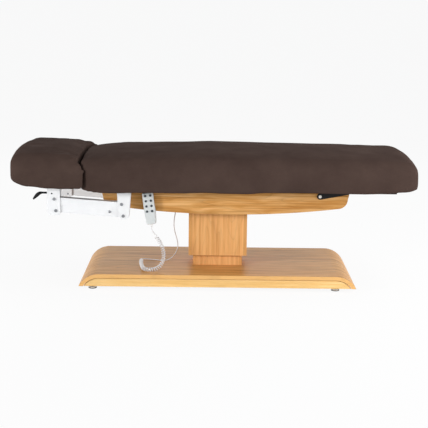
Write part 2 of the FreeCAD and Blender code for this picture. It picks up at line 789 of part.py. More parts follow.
clevis_x = (upper_left[0] - clevis_head_reach, upper_left[0] + clevis_foot_reach)
clevis_top = headrest_board_z[0]
lever_pivot = (upper_left[0] - lever_pivot_back, upper_left[1] + lever_pivot_up)
headrest_bracket = clevis([
    (clevis_x[0], clevis_top),
    (clevis_x[0], lower_left[1]),
    (clevis_x[0] + clevis_tail / 2, lower_left[1] - clevis_tail),
    (clevis_x[1] - clevis_tail / 4, lower_left[1] - clevis_tail),
    (clevis_x[1], lower_left[1] - clevis_tail / 2),
    (clevis_x[1], clevis_top),
], clevis_top)
headrest_bracket = bored(headrest_bracket, (upper_left, lower_left), arm_bore)
near_bracket = bored(headrest_bracket, (lever_pivot,), lever_pin_radius + pivot_clearance)
save("headrest_brackets", near_bracket, mirrored(headrest_bracket))


def arm_bolt(place):
    head = (bracket_y[0] - arm_pin_head_height, bracket_y[0])
    bolt = pin(place[0], place[1], arm_pin_radius, (head[0], bracket_y[1]))
    return bolt.fuse(pin(place[0], place[1], arm_pin_head_radius, head))


frame_bolts = [arm_bolt(upper_right), arm_bolt(lower_right)]
save("frame_arm_bolts", *frame_bolts, *[mirrored(bolt) for bolt in frame_bolts])
head_bolts = [arm_bolt(upper_left), arm_bolt(lower_left)]
save("headrest_arm_bolts", *head_bolts, *[mirrored(bolt) for bolt in head_bolts])


# Gas spring inside the near arm: its foot pin is in the lower channel, its rod eye on the upper headrest bolt

spring_pin_y = (lower_y[0] - arm_side_gap / 2, lower_y[1] + arm_side_gap / 2)
spring_pin = pin(spring_foot[0], spring_foot[1], arm_pin_radius, spring_pin_y)
spring_pin = spring_pin.fuse(pin(spring_foot[0], spring_foot[1], spring_pin_head_radius,
                                 (spring_pin_y[0] - spring_pin_head_height, spring_pin_y[0])))
spring_middle_y = (lower_y[0] + lower_y[1]) / 2
spring_run = vector(upper_left[0] - spring_foot[0], 0, upper_left[1] - spring_foot[1])
spring_length = spring_run.Length
spring_way = vector(spring_run.x / spring_length, 0, spring_run.z / spring_length)
foot_point = vector(spring_foot[0], spring_middle_y, spring_foot[1])
cylinder_start = foot_point + spring_way * spring_eye_radius
cylinder = Part.makeCylinder(spring_cylinder_radius, spring_cylinder_length, cylinder_start, spring_way)
eye_y = centred(spring_middle_y, spring_eye_width)
cylinder = cylinder.fuse(pin(spring_foot[0], spring_foot[1], spring_eye_radius + arm_wall, eye_y))
rod_inside = spring_cylinder_length / 2
rod_hole = Part.makeCylinder(spring_rod_radius + pivot_clearance, rod_inside + spring_eye_radius,
                             cylinder_start + spring_way * (spring_cylinder_length - rod_inside), spring_way)
cylinder = cylinder.fuse(spring_pin).cut(rod_hole)
save("gas_spring_cylinder", cylinder.removeSplitter())
rod_begin = cylinder_start + spring_way * (spring_cylinder_length - rod_inside / 2)
rod_reach = spring_length - spring_eye_radius - spring_cylinder_length + rod_inside / 2
spring_rod = Part.makeCylinder(spring_rod_radius, rod_reach, rod_begin, spring_way)
spring_rod = spring_rod.fuse(pin(upper_left[0], upper_left[1], spring_eye_radius + spring_eye_play, eye_y))
spring_rod = bored(spring_rod, (upper_left,), arm_pin_radius + spring_eye_play)
save("gas_spring_rod", spring_rod)


# Release lever: a bent bar on a cross pin in the near headrest bracket

lever_x = lever_pivot[0] - lever_arm
lever_z = lever_pivot[1]
lever_half = lever_height / 2
lever_points = [
    (lever_pivot[0] + lever_height, lever_z - lever_half),
    (lever_pivot[0] + lever_height, lever_z + lever_half),
    (lever_x, lever_z + lever_half),
    (lever_x - lever_grip_run, lever_z + lever_half - lever_grip_drop),
    (lever_x - lever_grip_run + lever_half, lever_z - lever_half - lever_grip_drop),
    (lever_x + lever_half, lever_z - lever_half),
]
lever = slab(polygon(lever_points), centred(spring_middle_y, lever_thickness))
lever = lever.fuse(pin(lever_pivot[0], lever_pivot[1], lever_pin_radius, bracket_y))
lever_grip = slab(polygon([
    (lever_x + lever_height, lever_z + lever_half + lever_grip_swell),
    (lever_x, lever_z + lever_half + lever_grip_swell),
    (lever_x - lever_grip_run - lever_grip_swell, lever_z + lever_half - lever_grip_drop),
    (lever_x - lever_grip_run + lever_half, lever_z - lever_half - lever_grip_drop - lever_grip_swell),
    (lever_x + lever_height, lever_z - lever_half - lever_grip_swell),
]), centred(spring_middle_y, lever_grip_thickness))
lever = lever.fuse(lever_grip)
save("release_lever", lever)


# Handset on its holder: two shells, eight keys and a cord gland. It is made upright and then tilted.

def tilted(shape):
    turned = shape.copy()
    turned.rotate(vector(handset_x, 0, handset_top), along_y, -handset_tilt_deg)
    return turned


handset_bottom = handset_top - handset_length
holder_y = (-panel_face - holder_depth, -panel_face)
back_y = (holder_y[0] - handset_half_thickness, holder_y[0])
front_y = (back_y[0] - handset_half_thickness, back_y[0])
key_face = front_y[0]


def handset_half(y_range, wall_range):
    x = centred(handset_x, handset_width)
    c = handset_corner
    points = [(x[0] + c, handset_bottom), (x[1] - c, handset_bottom), (x[1], handset_bottom + c),
              (x[1], handset_top), (x[0], handset_top), (x[0], handset_bottom + c)]
    shell = slab(polygon(points), y_range)
    w = handset_wall
    hollow = block((x[0] + w, x[1] - w), wall_range, (handset_bottom + c, handset_top - w))
    return shell.cut(hollow)


back_shell = handset_half(back_y, (back_y[0], back_y[1] - handset_wall))
front_shell = handset_half(front_y, (front_y[0] + handset_wall, front_y[1]))
key_places = []
for row in range(button_rows):
    for side in (-0.5, 0.5):
        key_places.append((handset_x + side * button_pitch_across,
                           handset_top - button_first_row - row * button_pitch_along))
for x, z in key_places:
    front_shell = front_shell.cut(pin(x, z, button_stem_radius + button_gap,
                                      (front_y[0] - handset_wall, front_y[0] + 2 * handset_wall)))
gland_z = handset_bottom
gland = Part.makeCylinder(gland_radius, gland_length, vector(handset_x, back_y[0], gland_z - gland_length))
save("handset_back", tilted(back_shell))
save("handset_front", tilted(front_shell))
for number, (x, z) in enumerate(key_places):
    cap_y = (key_face - button_gap - button_travel - button_height, key_face - button_gap - button_travel)
    key = pin(x, z, button_radius, cap_y)
    key = key.fuse(pin(x, z, button_stem_radius, (cap_y[1], key_face + button_stem_length)))
    save("key_" + str(number + 1), tilted(key))
handset_gland = tilted(gland)
holder_mid = handset_top - handset_length / 3
holder = block(centred(handset_x, holder_width), holder_y, centred(holder_mid, holder_height))
save("handset_holder", tilted(holder))

box_x = centred(control_box_x, control_box_length)
control_box = block(box_x, centred(0, control_box_width), (rail_z[0] - control_box_height, rail_z[0]))
box_hanger = block(box_x, cross_y, rail_z)
save("control_box", control_box, box_hanger)


# Cord: a plain lead, a curly stretch and a plain tail up to the gland under the control box

def rounded_path(points):
    # Straight runs joined by the largest tangent arcs that the runs allow.
    spots = [vector(*p) for p in points]
    edges = []
    radii = []
    here = spots[0]
    for before, corner, after in zip(spots, spots[1:], spots[2:]):
        back = (before - corner).normalize()
        ahead = (after - corner).normalize()
        turn = math.pi - back.getAngle(ahead)
        setback = 0.45 * min((before - corner).Length, (after - corner).Length)
        radius = setback / math.tan(turn / 2)
        bisector = (back + ahead).normalize()
        middle = corner + bisector * (radius / math.cos(turn / 2) - radius)
        start = corner + back * setback
        end = corner + ahead * setback
        edges.append(Part.LineSegment(here, start).toShape())
        edges.append(Part.Arc(start, middle, end).toShape())
        radii.append(round(radius))
        here = end
    edges.append(Part.LineSegment(here, spots[-1]).toShape())
    return Part.Wire(edges), radii


def tube(points, name):
    path, radii = rounded_path(points)
    first = vector(*points[0])
    way = (vector(*points[1]) - first).normalize()
    ring = Part.Wire(Part.Circle(first, way, cord_radius).toShape())
    shape = path.makePipeShell([ring], True, False)
    print(name, "radii", radii, "length", round(path.Length, 1), "volume share",
          round(shape.Volume / (math.pi * cord_radius ** 2 * path.Length), 4))
    return shape


def arc_from(start, way, end):
    # The arc that leaves the start along the given way and reaches the end.
    chord = end - start
    along = vector(chord).normalize()
    lean = way.getAngle(chord)
    side = (way - along * way.dot(along)).normalize()
    middle = (start + end) * 0.5 + side * (chord.Length / 2 * math.tan(lean / 2))
    return Part.Arc(start, middle, end).toShape()


def two_arcs(start, way_out, end, way_in):
    # A pair of arcs that leaves and arrives along the given ways.
    chord = end - start
    both = way_out + way_in
    open_share = 2 * (1 - way_out.dot(way_in))
    reach = chord.dot(both)
    size = (math.sqrt(reach ** 2 + open_share * chord.dot(chord)) - reach) / open_share
    middle = (start + end + (way_out - way_in) * size) * 0.5
    back = arc_from(end, way_in * -1, middle)
    return [arc_from(start, way_out, middle), back]


def curls():
    # The wire winds about the route, and opens out from it and closes on it over the first and last turns.
    route, radii = rounded_path(curl_points)
    per_turn = 16
    count = curl_count * per_turn
    spots = route.discretize(Number=count + 1)
    across = vector(0, 1, 0)
    winding = []
    for number, spot in enumerate(spots):
        ahead = spots[min(number + 1, count)] - spots[max(number - 1, 0)]
        ahead.normalize()
        across = (across - ahead * across.dot(ahead)).normalize()
        upward = ahead.cross(across)
        turns_in = min(number, count - number) / per_turn
        share = min(1.0, turns_in / curl_ramp)
        radius = curl_radius * share * share * (3 - 2 * share)
        angle = 2 * math.pi * number / per_turn
        winding.append(spot + across * (radius * math.cos(angle)) + upward * (radius * math.sin(angle)))
    first_way = (vector(*curl_points[1]) - vector(*curl_points[0])).normalize()
    last_way = (vector(*curl_points[-1]) - vector(*curl_points[-2])).normalize()
    step = per_turn // 4
    ways = {0: first_way, count: last_way}
    for number in range(step, count, step):
        ways[number] = (winding[number + 1] - winding[number - 1]).normalize()
    plain = 2 * cord_radius
    edges = [Part.LineSegment(winding[0] - first_way * plain, winding[0]).toShape()]
    for number in range(0, count, step):
        edges += two_arcs(winding[number], ways[number], winding[number + step], ways[number + step])
    edges.append(Part.LineSegment(winding[-1], winding[-1] + last_way * plain).toShape())
    path = Part.Wire(edges)
    ring = Part.Wire(Part.Circle(winding[0] - first_way * plain, first_way, cord_radius).toShape())
    shape = path.makePipeShell([ring], True, False)
    least = bed_length
    for i in range(count):
        for j in range(i + 3 * per_turn // 4, min(count, i + 3 * per_turn)):
            least = min(least, (winding[i] - winding[j]).Length)
    print("curls", curl_count, "route radii", radii, "route", round(route.Length, 1))
    print("curls wire", round(path.Length), "least gap", round(least - 2 * cord_radius, 2), "volume share",
          round(shape.Volume / (math.pi * cord_radius ** 2 * path.Length), 4))
    return shape, winding[0] - first_way * plain, winding[-1] + last_way * plain


curl_tube, curl_start, curl_end = curls()
save("cord_curls", curl_tube)
gland_turn = math.radians(handset_tilt_deg)
gland_way = vector(math.sin(gland_turn), 0, -math.cos(gland_turn))
lead_start = vector(handset_x, back_y[0], handset_top) + gland_way * (handset_length + gland_length)
lead_start = (lead_start.x, lead_start.y, lead_start.z)
lead_next = vector(*lead_start) + gland_way * gland_length
lead_next = (lead_next.x, lead_next.y, lead_next.z)
lead_end = (curl_start.x, curl_start.y, curl_start.z)
save("cord_lead", tube([lead_start, lead_next] + lead_points + [lead_end], "lead"))
save("cord_tail", tube([(curl_end.x, curl_end.y, curl_end.z)] + tail_points, "tail"))
tail_end = vector(*tail_points[-1])
box_gland = Part.makeCylinder(gland_radius, rail_z[0] - control_box_height - tail_end.z, tail_end)
save("cord_glands", handset_gland, box_gland)
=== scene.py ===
import math
import bpy
import bmesh
from mathutils import Matrix, Vector, noise


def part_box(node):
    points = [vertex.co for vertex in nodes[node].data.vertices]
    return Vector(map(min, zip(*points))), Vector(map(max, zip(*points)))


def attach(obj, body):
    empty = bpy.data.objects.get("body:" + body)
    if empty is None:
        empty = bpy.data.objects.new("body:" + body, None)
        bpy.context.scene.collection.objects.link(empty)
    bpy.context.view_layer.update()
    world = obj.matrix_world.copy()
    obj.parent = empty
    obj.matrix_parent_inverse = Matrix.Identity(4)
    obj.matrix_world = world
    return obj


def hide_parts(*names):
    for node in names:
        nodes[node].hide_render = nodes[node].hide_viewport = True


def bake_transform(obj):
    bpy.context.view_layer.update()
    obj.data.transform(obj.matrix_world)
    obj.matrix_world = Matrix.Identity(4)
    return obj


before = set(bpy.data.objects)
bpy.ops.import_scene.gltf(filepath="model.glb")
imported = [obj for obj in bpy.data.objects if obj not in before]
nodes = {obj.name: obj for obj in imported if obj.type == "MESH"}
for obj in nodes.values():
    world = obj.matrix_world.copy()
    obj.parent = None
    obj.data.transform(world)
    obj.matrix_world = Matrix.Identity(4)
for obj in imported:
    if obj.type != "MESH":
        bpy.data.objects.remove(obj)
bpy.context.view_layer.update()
scene = bpy.context.scene
print("frame loaded:", len(nodes), "nodes")


# small helpers

def srgb(r, g, b):
    def lin(c):
        c = c / 255
        return c / 12.92 if c <= 0.04045 else ((c + 0.055) / 1.055) ** 2.4
    return (lin(r), lin(g), lin(b), 1)


def addObject(name, bm, materials, smooth=True):
    mesh = bpy.data.meshes.new(name)
    bm.to_mesh(mesh)
    bm.free()
    for mat in materials:
        mesh.materials.append(mat)
    if smooth:
        mesh.polygons.foreach_set("use_smooth", [True] * len(mesh.polygons))
    obj = bpy.data.objects.new(name, mesh)
    scene.collection.objects.link(obj)
    return obj


def evaluated(obj):
    bpy.context.view_layer.update()
    deps = bpy.context.evaluated_depsgraph_get()
    return bpy.data.meshes.new_from_object(obj.evaluated_get(deps))


def smoothStep(a, b, x):
    t = min(1.0, max(0.0, (x - a) / (b - a)))
    return t * t * (3 - 2 * t)


# materials

def startMaterial(name, roughness, specular=0.5, metallic=0.0):
    mat = bpy.data.materials.new(name)
    mat.use_nodes = True
    tree = mat.node_tree
    shader = tree.nodes["Principled BSDF"]
    shader.inputs["Roughness"].default_value = roughness
    shader.inputs["Specular IOR Level"].default_value = specular
    shader.inputs["Metallic"].default_value = metallic
    return mat, tree, shader


def coords(tree, scale, turn=(0, 0, 0), shift=(0, 0, 0)):
    tex = tree.nodes.new("ShaderNodeTexCoord")
    mapping = tree.nodes.new("ShaderNodeMapping")
    mapping.inputs["Scale"].default_value = scale
    mapping.inputs["Rotation"].default_value = turn
    mapping.inputs["Location"].default_value = shift
    tree.links.new(tex.outputs["Object"], mapping.inputs["Vector"])
    return mapping.outputs["Vector"]


def noiseNode(tree, vector, scale, detail=4.0, rough=0.55, distortion=0.0):
    node = tree.nodes.new("ShaderNodeTexNoise")
    node.inputs["Scale"].default_value = scale
    node.inputs["Detail"].default_value = detail
    node.inputs["Roughness"].default_value = rough
    node.inputs["Distortion"].default_value = distortion
    tree.links.new(vector, node.inputs["Vector"])
    return node.outputs["Fac"]


def rampNode(tree, fac, stops):
    node = tree.nodes.new("ShaderNodeValToRGB")
    ramp = node.color_ramp
    while len(ramp.elements) < len(stops):
        ramp.elements.new(0.5)
    for element, (place, colour) in zip(ramp.elements, stops):
        element.position = place
        element.color = colour
    tree.links.new(fac, node.inputs["Fac"])
    return node.outputs["Color"]


def grey(v):
    return (v, v, v, 1)


def greyRamp(tree, fac, stops):
    return rampNode(tree, fac, [(stop, grey(value)) for stop, value in stops])


def toneRamp(tree, fac, stops):
    return rampNode(tree, fac, [(stop, srgb(*tone)) for stop, tone in stops])


def mixColour(tree, kind, fac, a, b):
    node = tree.nodes.new("ShaderNodeMix")
    node.data_type = "RGBA"
    node.blend_type = kind
    if isinstance(fac, float):
        node.inputs["Factor"].default_value = fac
    else:
        tree.links.new(fac, node.inputs["Factor"])
    for value, socket in ((a, node.inputs[6]), (b, node.inputs[7])):
        if isinstance(value, tuple):
            socket.default_value = value
        else:
            tree.links.new(value, socket)
    return node.outputs[2]


def mathNode(tree, kind, a, b):
    node = tree.nodes.new("ShaderNodeMath")
    node.operation = kind
    for value, socket in ((a, node.inputs[0]), (b, node.inputs[1])):
        if isinstance(value, (int, float)):
            socket.default_value = value
        else:
            tree.links.new(value, socket)
    return node.outputs[0]


def bumpNode(tree, shader, height, distance, strength, edgeRadius=0.0):
    bump = tree.nodes.new("ShaderNodeBump")
    bump.inputs["Distance"].default_value = distance
    bump.inputs["Strength"].default_value = strength
    tree.links.new(height, bump.inputs["Height"])
    if edgeRadius:
        bevel = tree.nodes.new("ShaderNodeBevel")
        bevel.samples = 4
        bevel.inputs["Radius"].default_value = edgeRadius
        tree.links.new(bevel.outputs["Normal"], bump.inputs["Normal"])
    tree.links.new(bump.outputs["Normal"], shader.inputs["Normal"])


# oak veneer: streaks and pores along the grain, growth rings as contours of a stretched field, edge lipping;
# on the bent base board the front and back faces get a lighter edge tone, painted front light
oakSettings = dict(
    # base: the edge tone on the bent board's front and back faces is painted front light
    base=dict(tones=((185, 125, 61), (223, 164, 93), (242, 191, 121)), edge=(230, 180, 114),
              face="Z", along="X", rings=13.0, depth=0.85, bands=0.55, shift=(0.37, 0.21, 0.13),
              rough=(0.44, 0.34), gloss=0.13, bent=True),
    edge=dict(tones=((230, 184, 112), (241, 198, 130), (247, 211, 148)), edge=(226, 172, 98),
              face="Y", along="X", rings=9.0, depth=0.20, bands=0.25, shift=(1.1, 0.4, 0.7),
              rough=(0.76, 0.62), gloss=0.12),
    frame=dict(tones=((177, 121, 60), (213, 158, 93), (235, 187, 126)), edge=(196, 140, 80),
               face="Y", along="X", rings=15.0, depth=0.90, bands=1.0, shift=(0.9, 2.1, 0.33),
               rough=(0.76, 0.62), gloss=0.12),
    column=dict(tones=((210, 150, 88), (227, 170, 108), (238, 186, 124)), edge=(214, 154, 90),
                face="Y", along="Z", rings=17.0, depth=0.50, bands=0.16, shift=(0.21, 1.4, 0.8),
                rough=(0.76, 0.62), gloss=0.12,
                # darker lines at the face's edges and at the seam are painted shadow in the joints; the
                # lighter strip is the strip's own tone
                stripsAndSeamShade=[(0.0, 0.80), (0.008, 1.0), (0.912, 1.0), (0.916, 0.86), (0.922, 1.07),
                       (0.992, 1.07), (1.0, 0.80)]),
    columnEdge=dict(tones=((204, 144, 80), (222, 162, 96), (236, 182, 116)), edge=(216, 160, 98),
                    face="X", along="Z", rings=8.0, depth=0.25, bands=0.2, shift=(2.2, 0.3, 1.6),
                    rough=(0.76, 0.62), gloss=0.12),
)
# how finely each part of the figure repeats, across the grain and along it
oakGrain = dict(streaks=(110.0, 2.2), rings=(5.6, 0.80), slow=(3.0, 0.9), bands=(30.0, 4.0),
                pores=(460.0, 9.0))
# how each part of the figure darkens or lightens the veneer
oakFigure = dict(
    rings=[(0.0, 0.80), (0.16, 0.95), (0.6, 1.03), (1.0, 0.97)],
    slow=[(0.3, 0.90), (0.7, 1.06)], slowShare=0.7,
    bands=[(0.34, (0.86, 0.78, 0.62, 1)), (0.49, (0.99, 0.98, 0.96, 1)), (0.66, (1.10, 1.16, 1.32, 1))],
    pores=[(0.30, 0.74), (0.46, 1.0), (0.8, 1.03)], poreShare=0.45, lipAndLitPoreShare=0.4,
    # the bent board's faces turned to the front and back take the edge tone as painted front light
    bentLitFaces=[(0.66, 0.0), (0.89, 1.0)], flatLip=[(0.45, 1.0), (0.75, 0.0)],
    poreDepth=0.0004, poreStrength=0.25, wornEdge=0.0018)


def oakMaterial(name, tones, edge, face, along, rings, depth, bands, shift, rough, gloss, stripsAndSeamShade=None,
                bent=False):
    mat, tree, shader = startMaterial(name, 0.5, gloss)

    def stretched(part):
        cross, length = oakGrain[part]
        if bent:
            # the sheet is bent down at the ends, so the grain runs over them
            return coords(tree, (length, cross, length), shift=shift)
        return coords(tree, (length, cross, cross) if along == "X" else (cross, cross, length), shift=shift)
    streaks = noiseNode(tree, stretched("streaks"), 1.0, 5.0, 0.62, 0.4)
    colour = toneRamp(tree, streaks, zip((0.3, 0.5, 0.72), tones))
    field = noiseNode(tree, stretched("rings"), 1.0, 2.6, 0.46, 0.5)
    ring = mathNode(tree, "FRACT", mathNode(tree, "MULTIPLY", field, rings), 0)
    colour = mixColour(tree, "MULTIPLY", depth, colour, greyRamp(tree, ring, oakFigure["rings"]))
    slow = greyRamp(tree, noiseNode(tree, stretched("slow"), 1.0, 2.0), oakFigure["slow"])
    colour = mixColour(tree, "MULTIPLY", oakFigure["slowShare"], colour, slow)
    band = noiseNode(tree, stretched("bands"), 1.0, 2.5, 0.5, 1.2)
    colour = mixColour(tree, "MULTIPLY", bands, colour, rampNode(tree, band, oakFigure["bands"]))
    pores = noiseNode(tree, stretched("pores"), 1.0, 2.0, 0.6)
    poreTone = greyRamp(tree, pores, oakFigure["pores"])
    colour = mixColour(tree, "MULTIPLY", oakFigure["poreShare"], colour, poreTone)
    place = tree.nodes.new("ShaderNodeTexCoord")
    if stripsAndSeamShade:
        # veneer strips across the column's face; the darker lines at the face's edges and at the strip's seam
        # are painted shadow in the joints
        low, high = (corner[0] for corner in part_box("upper_sleeve_faces"))
        spot = tree.nodes.new("ShaderNodeSeparateXYZ")
        tree.links.new(place.outputs["Object"], spot.inputs["Vector"])
        share = mathNode(tree, "DIVIDE", mathNode(tree, "SUBTRACT", spot.outputs["X"], low), high - low)
        colour = mixColour(tree, "MULTIPLY", 1.0, colour, greyRamp(tree, share, stripsAndSeamShade))
    # the lip: faces turned away from the veneered one; on the bent base board these are its front and back
    # faces, whose lighter tone is painted front light
    parts = tree.nodes.new("ShaderNodeSeparateXYZ")
    tree.links.new(place.outputs["Normal"], parts.inputs["Vector"])
    turned = mathNode(tree, "ABSOLUTE", parts.outputs["Y" if bent else face], 0)
    lipAndLitMask = greyRamp(tree, turned, oakFigure["bentLitFaces" if bent else "flatLip"])
    lipAndLitTone = mixColour(tree, "MULTIPLY", oakFigure["lipAndLitPoreShare"], srgb(*edge), poreTone)
    tree.links.new(mixColour(tree, "MIX", lipAndLitMask, colour, lipAndLitTone), shader.inputs["Base Color"])
    sheen = greyRamp(tree, pores, zip((0.3, 0.7), rough))
    tree.links.new(sheen, shader.inputs["Roughness"])
    bumpNode(tree, shader, pores, oakFigure["poreDepth"], oakFigure["poreStrength"], oakFigure["wornEdge"])
    return mat


# leather-like cover: pebbled grain over a soft unevenness, with painted shade in the creases between pebbles
upholsterySettings = dict(tones=((68, 54, 49), (77, 62, 56)), rough=(0.90, 0.80), gloss=0.015,
                          pebble=520.0, pebbleShade=[(0.2, 1.05), (0.75, 0.86)], pebbleShadeShare=0.7,
                          pebbleHeight=-0.25, cloud=7.0, soft=34.0, softShift=(3, 1, 2), softHeight=0.9,
                          depth=0.0014, strength=0.32)


def upholsteryMaterial(spec):
    mat, tree, shader = startMaterial("upholstery", 0.85, spec["gloss"])
    place = coords(tree, (1, 1, 1))
    cells = tree.nodes.new("ShaderNodeTexVoronoi")
    cells.feature = "SMOOTH_F1"
    cells.inputs["Scale"].default_value = spec["pebble"]
    tree.links.new(place, cells.inputs["Vector"])
    pebble = cells.outputs["Distance"]
    cloudy = noiseNode(tree, place, spec["cloud"], 5.0, 0.6)
    tone = toneRamp(tree, cloudy, zip((0.3, 0.7), spec["tones"]))
    # painted shade: the pebble grain is darker in its creases and lighter on the pebble tops, following its
    # relief
    creaseShade = greyRamp(tree, pebble, spec["pebbleShade"])
    colour = mixColour(tree, "MULTIPLY", spec["pebbleShadeShare"], tone, creaseShade)
    tree.links.new(colour, shader.inputs["Base Color"])
    tree.links.new(greyRamp(tree, cloudy, zip((0.3, 0.7), spec["rough"])), shader.inputs["Roughness"])
    soft = noiseNode(tree, coords(tree, (1, 1, 1), shift=spec["softShift"]), spec["soft"], 3.0, 0.5)
    height = mathNode(tree, "ADD", mathNode(tree, "MULTIPLY", pebble, spec["pebbleHeight"]),
                      mathNode(tree, "MULTIPLY", soft, spec["softHeight"]))
    bumpNode(tree, shader, height, spec["depth"], spec["strength"])
    return mat


def plainMaterial(name, tones, roughness, grain, depth, metallic=0.0, edge=0.0008, specular=0.5):
    # moulded, painted or plated surfaces: fine grain, slight cloudiness and worn edges
    mat, tree, shader = startMaterial(name, roughness, specular, metallic)
    place = coords(tree, (1, 1, 1))
    cloudy = noiseNode(tree, place, 14.0, 4.0, 0.6)
    tree.links.new(toneRamp(tree, cloudy, zip((0.3, 0.7), tones)), shader.inputs["Base Color"])
    fine = noiseNode(tree, place, grain, 2.0, 0.5)
    rough = greyRamp(tree, cloudy, [(0.3, roughness + 0.05), (0.7, roughness - 0.05)])
    tree.links.new(rough, shader.inputs["Roughness"])
    bumpNode(tree, shader, fine, depth, 0.3, edge)
    return mat


# woven cloth under the pads, with painted shade between the threads
deckSettings = dict(tones=((30, 25, 23), (48, 41, 38)), rough=0.85, gloss=0.2, threads=160.0, waver=0.6,
                    depth=0.0005, strength=0.4)


def weaveMaterial(spec):
    mat, tree, shader = startMaterial("deckCloth", spec["rough"], spec["gloss"])
    place = coords(tree, (1, 1, 1))
    threads = []
    for direction in ("X", "Y"):
        wave = tree.nodes.new("ShaderNodeTexWave")
        wave.bands_direction = direction
        wave.inputs["Scale"].default_value = spec["threads"]
        wave.inputs["Distortion"].default_value = spec["waver"]
        tree.links.new(place, wave.inputs["Vector"])
        threads.append(wave.outputs["Fac"])
    height = mathNode(tree, "ADD", threads[0], threads[1])
    # the tone follows the threads' height: darker in the hollows between threads, painted shade
    tone = toneRamp(tree, mathNode(tree, "MULTIPLY", height, 0.5), zip((0.2, 0.8), spec["tones"]))
    tree.links.new(tone, shader.inputs["Base Color"])
    bumpNode(tree, shader, height, spec["depth"], spec["strength"])
    return mat


upholstery = upholsteryMaterial(upholsterySettings)
baseOak = oakMaterial("baseOak", **oakSettings["base"])
edgeOak = oakMaterial("edgeOak", **oakSettings["edge"])
frameOak = oakMaterial("frameOak", **oakSettings["frame"])
columnOak = oakMaterial("columnOak", **oakSettings["column"])
columnEdgeOak = oakMaterial("columnEdgeOak", **oakSettings["columnEdge"])
# plain finishes: name, two tones, roughness, grain, depth of the grain and share of metal
whitePaint = plainMaterial("whitePaint", ((236, 237, 238), (243, 244, 245)), 0.42, 900.0, 0.0002, edge=0.0014)
blackPaint = plainMaterial("blackPaint", ((12, 12, 13), (19, 19, 20)), 0.5, 900.0, 0.0002, edge=0.0012,
                           specular=0.2)
zincPlate = plainMaterial("zincPlate", ((124, 126, 130), (152, 154, 158)), 0.34, 500.0, 0.0001, 0.9)
polishedRod = plainMaterial("polishedRod", ((196, 197, 200), (212, 213, 216)), 0.16, 300.0, 0.00005, 1.0)
satinSteel = plainMaterial("satinSteel", ((222, 218, 210), (232, 228, 220)), 0.5, 400.0, 0.0001, 0.4)
footRubber = plainMaterial("footRubber", ((26, 26, 26), (36, 35, 34)), 0.7, 1200.0, 0.0003)
handsetPlastic = plainMaterial("handsetPlastic", ((206, 211, 211), (216, 220, 220)), 0.45, 1400.0, 0.0002)
handsetDark = plainMaterial("handsetDark", ((74, 80, 84), (90, 96, 100)), 0.5, 1400.0, 0.0002)
keyPlastic = plainMaterial("keyPlastic", ((44, 52, 58), (58, 66, 72)), 0.4, 1400.0, 0.0002)
darkPlastic = plainMaterial("darkPlastic", ((36, 36, 38), (48, 48, 50)), 0.5, 1200.0, 0.0003)
glidePlastic = plainMaterial("glidePlastic", ((205, 204, 200), (216, 215, 211)), 0.5, 1000.0, 0.0002)
cordPlastic = plainMaterial("cordPlastic", ((222, 221, 221), (232, 231, 231)), 0.4, 1600.0, 0.0001, edge=0.0)
deckCloth = weaveMaterial(deckSettings)
print("materials made:", len(bpy.data.materials))

nodeFinish = {
    "base_top_board": baseOak, "base_side_panels": edgeOak,
    "frame_panels": frameOak, "frame_end_boards": frameOak,
    "upper_sleeve_faces": columnOak, "lower_sleeve_faces": columnOak,
    "upper_sleeve_sides": columnEdgeOak, "lower_sleeve_sides": columnEdgeOak,
    "main_deck": deckCloth, "leg_deck": deckCloth, "headrest_board": deckCloth,
    "frame_brackets": whitePaint, "headrest_brackets": whitePaint, "upper_arms": whitePaint,
    "lower_arms": whitePaint,
    "column_outer_tube": whitePaint, "column_inner_tube": whitePaint, "column_glide": glidePlastic,
    "base_chassis": blackPaint, "frame_carrier": blackPaint, "column_base_flange": blackPaint,
    "column_top_flange": blackPaint, "leg_straps": blackPaint, "leg_crank": blackPaint,
    "release_lever": blackPaint, "base_flange_bolts": zincPlate, "top_flange_bolts": zincPlate,
    "knee_bolts": satinSteel, "frame_arm_bolts": zincPlate, "headrest_arm_bolts": zincPlate,
    "gas_spring_rod": polishedRod, "leg_rod": polishedRod, "gas_spring_cylinder": darkPlastic,
    "leg_actuator": darkPlastic, "control_box": darkPlastic, "handset_holder": darkPlastic,
}
for nodeName, finish in nodeFinish.items():
    data = nodes[nodeName].data
    data.materials.clear()
    data.materials.append(finish)


# camera, floor and light
cameraSettings = dict(place=(-0.0236, -6.2656, 1.5052), yaw=-0.0035, pitch=0.1845, roll=0.0121, lens=100.32)


def makeCamera(place, yaw, pitch, roll, lens):
    right = Vector((math.cos(yaw), math.sin(yaw), 0))
    ahead = Vector((-math.sin(yaw), math.cos(yaw), 0))
    sight = ahead * math.cos(pitch) - Vector((0, 0, 1)) * math.sin(pitch)
    up = ahead * math.sin(pitch) + Vector((0, 0, 1)) * math.cos(pitch)
    rolledRight = right * math.cos(roll) + up * math.sin(roll)
    rolledUp = up * math.cos(roll) - right * math.sin(roll)
    data = bpy.data.cameras.new("viewCamera")
    data.lens = lens
    data.sensor_width = 36
    camera = bpy.data.objects.new("viewCamera", data)
    turn = Matrix((rolledRight, rolledUp, -sight)).transposed()
    camera.matrix_world = Matrix.Translation(place) @ turn.to_4x4()
    scene.collection.objects.link(camera)
    scene.camera = camera


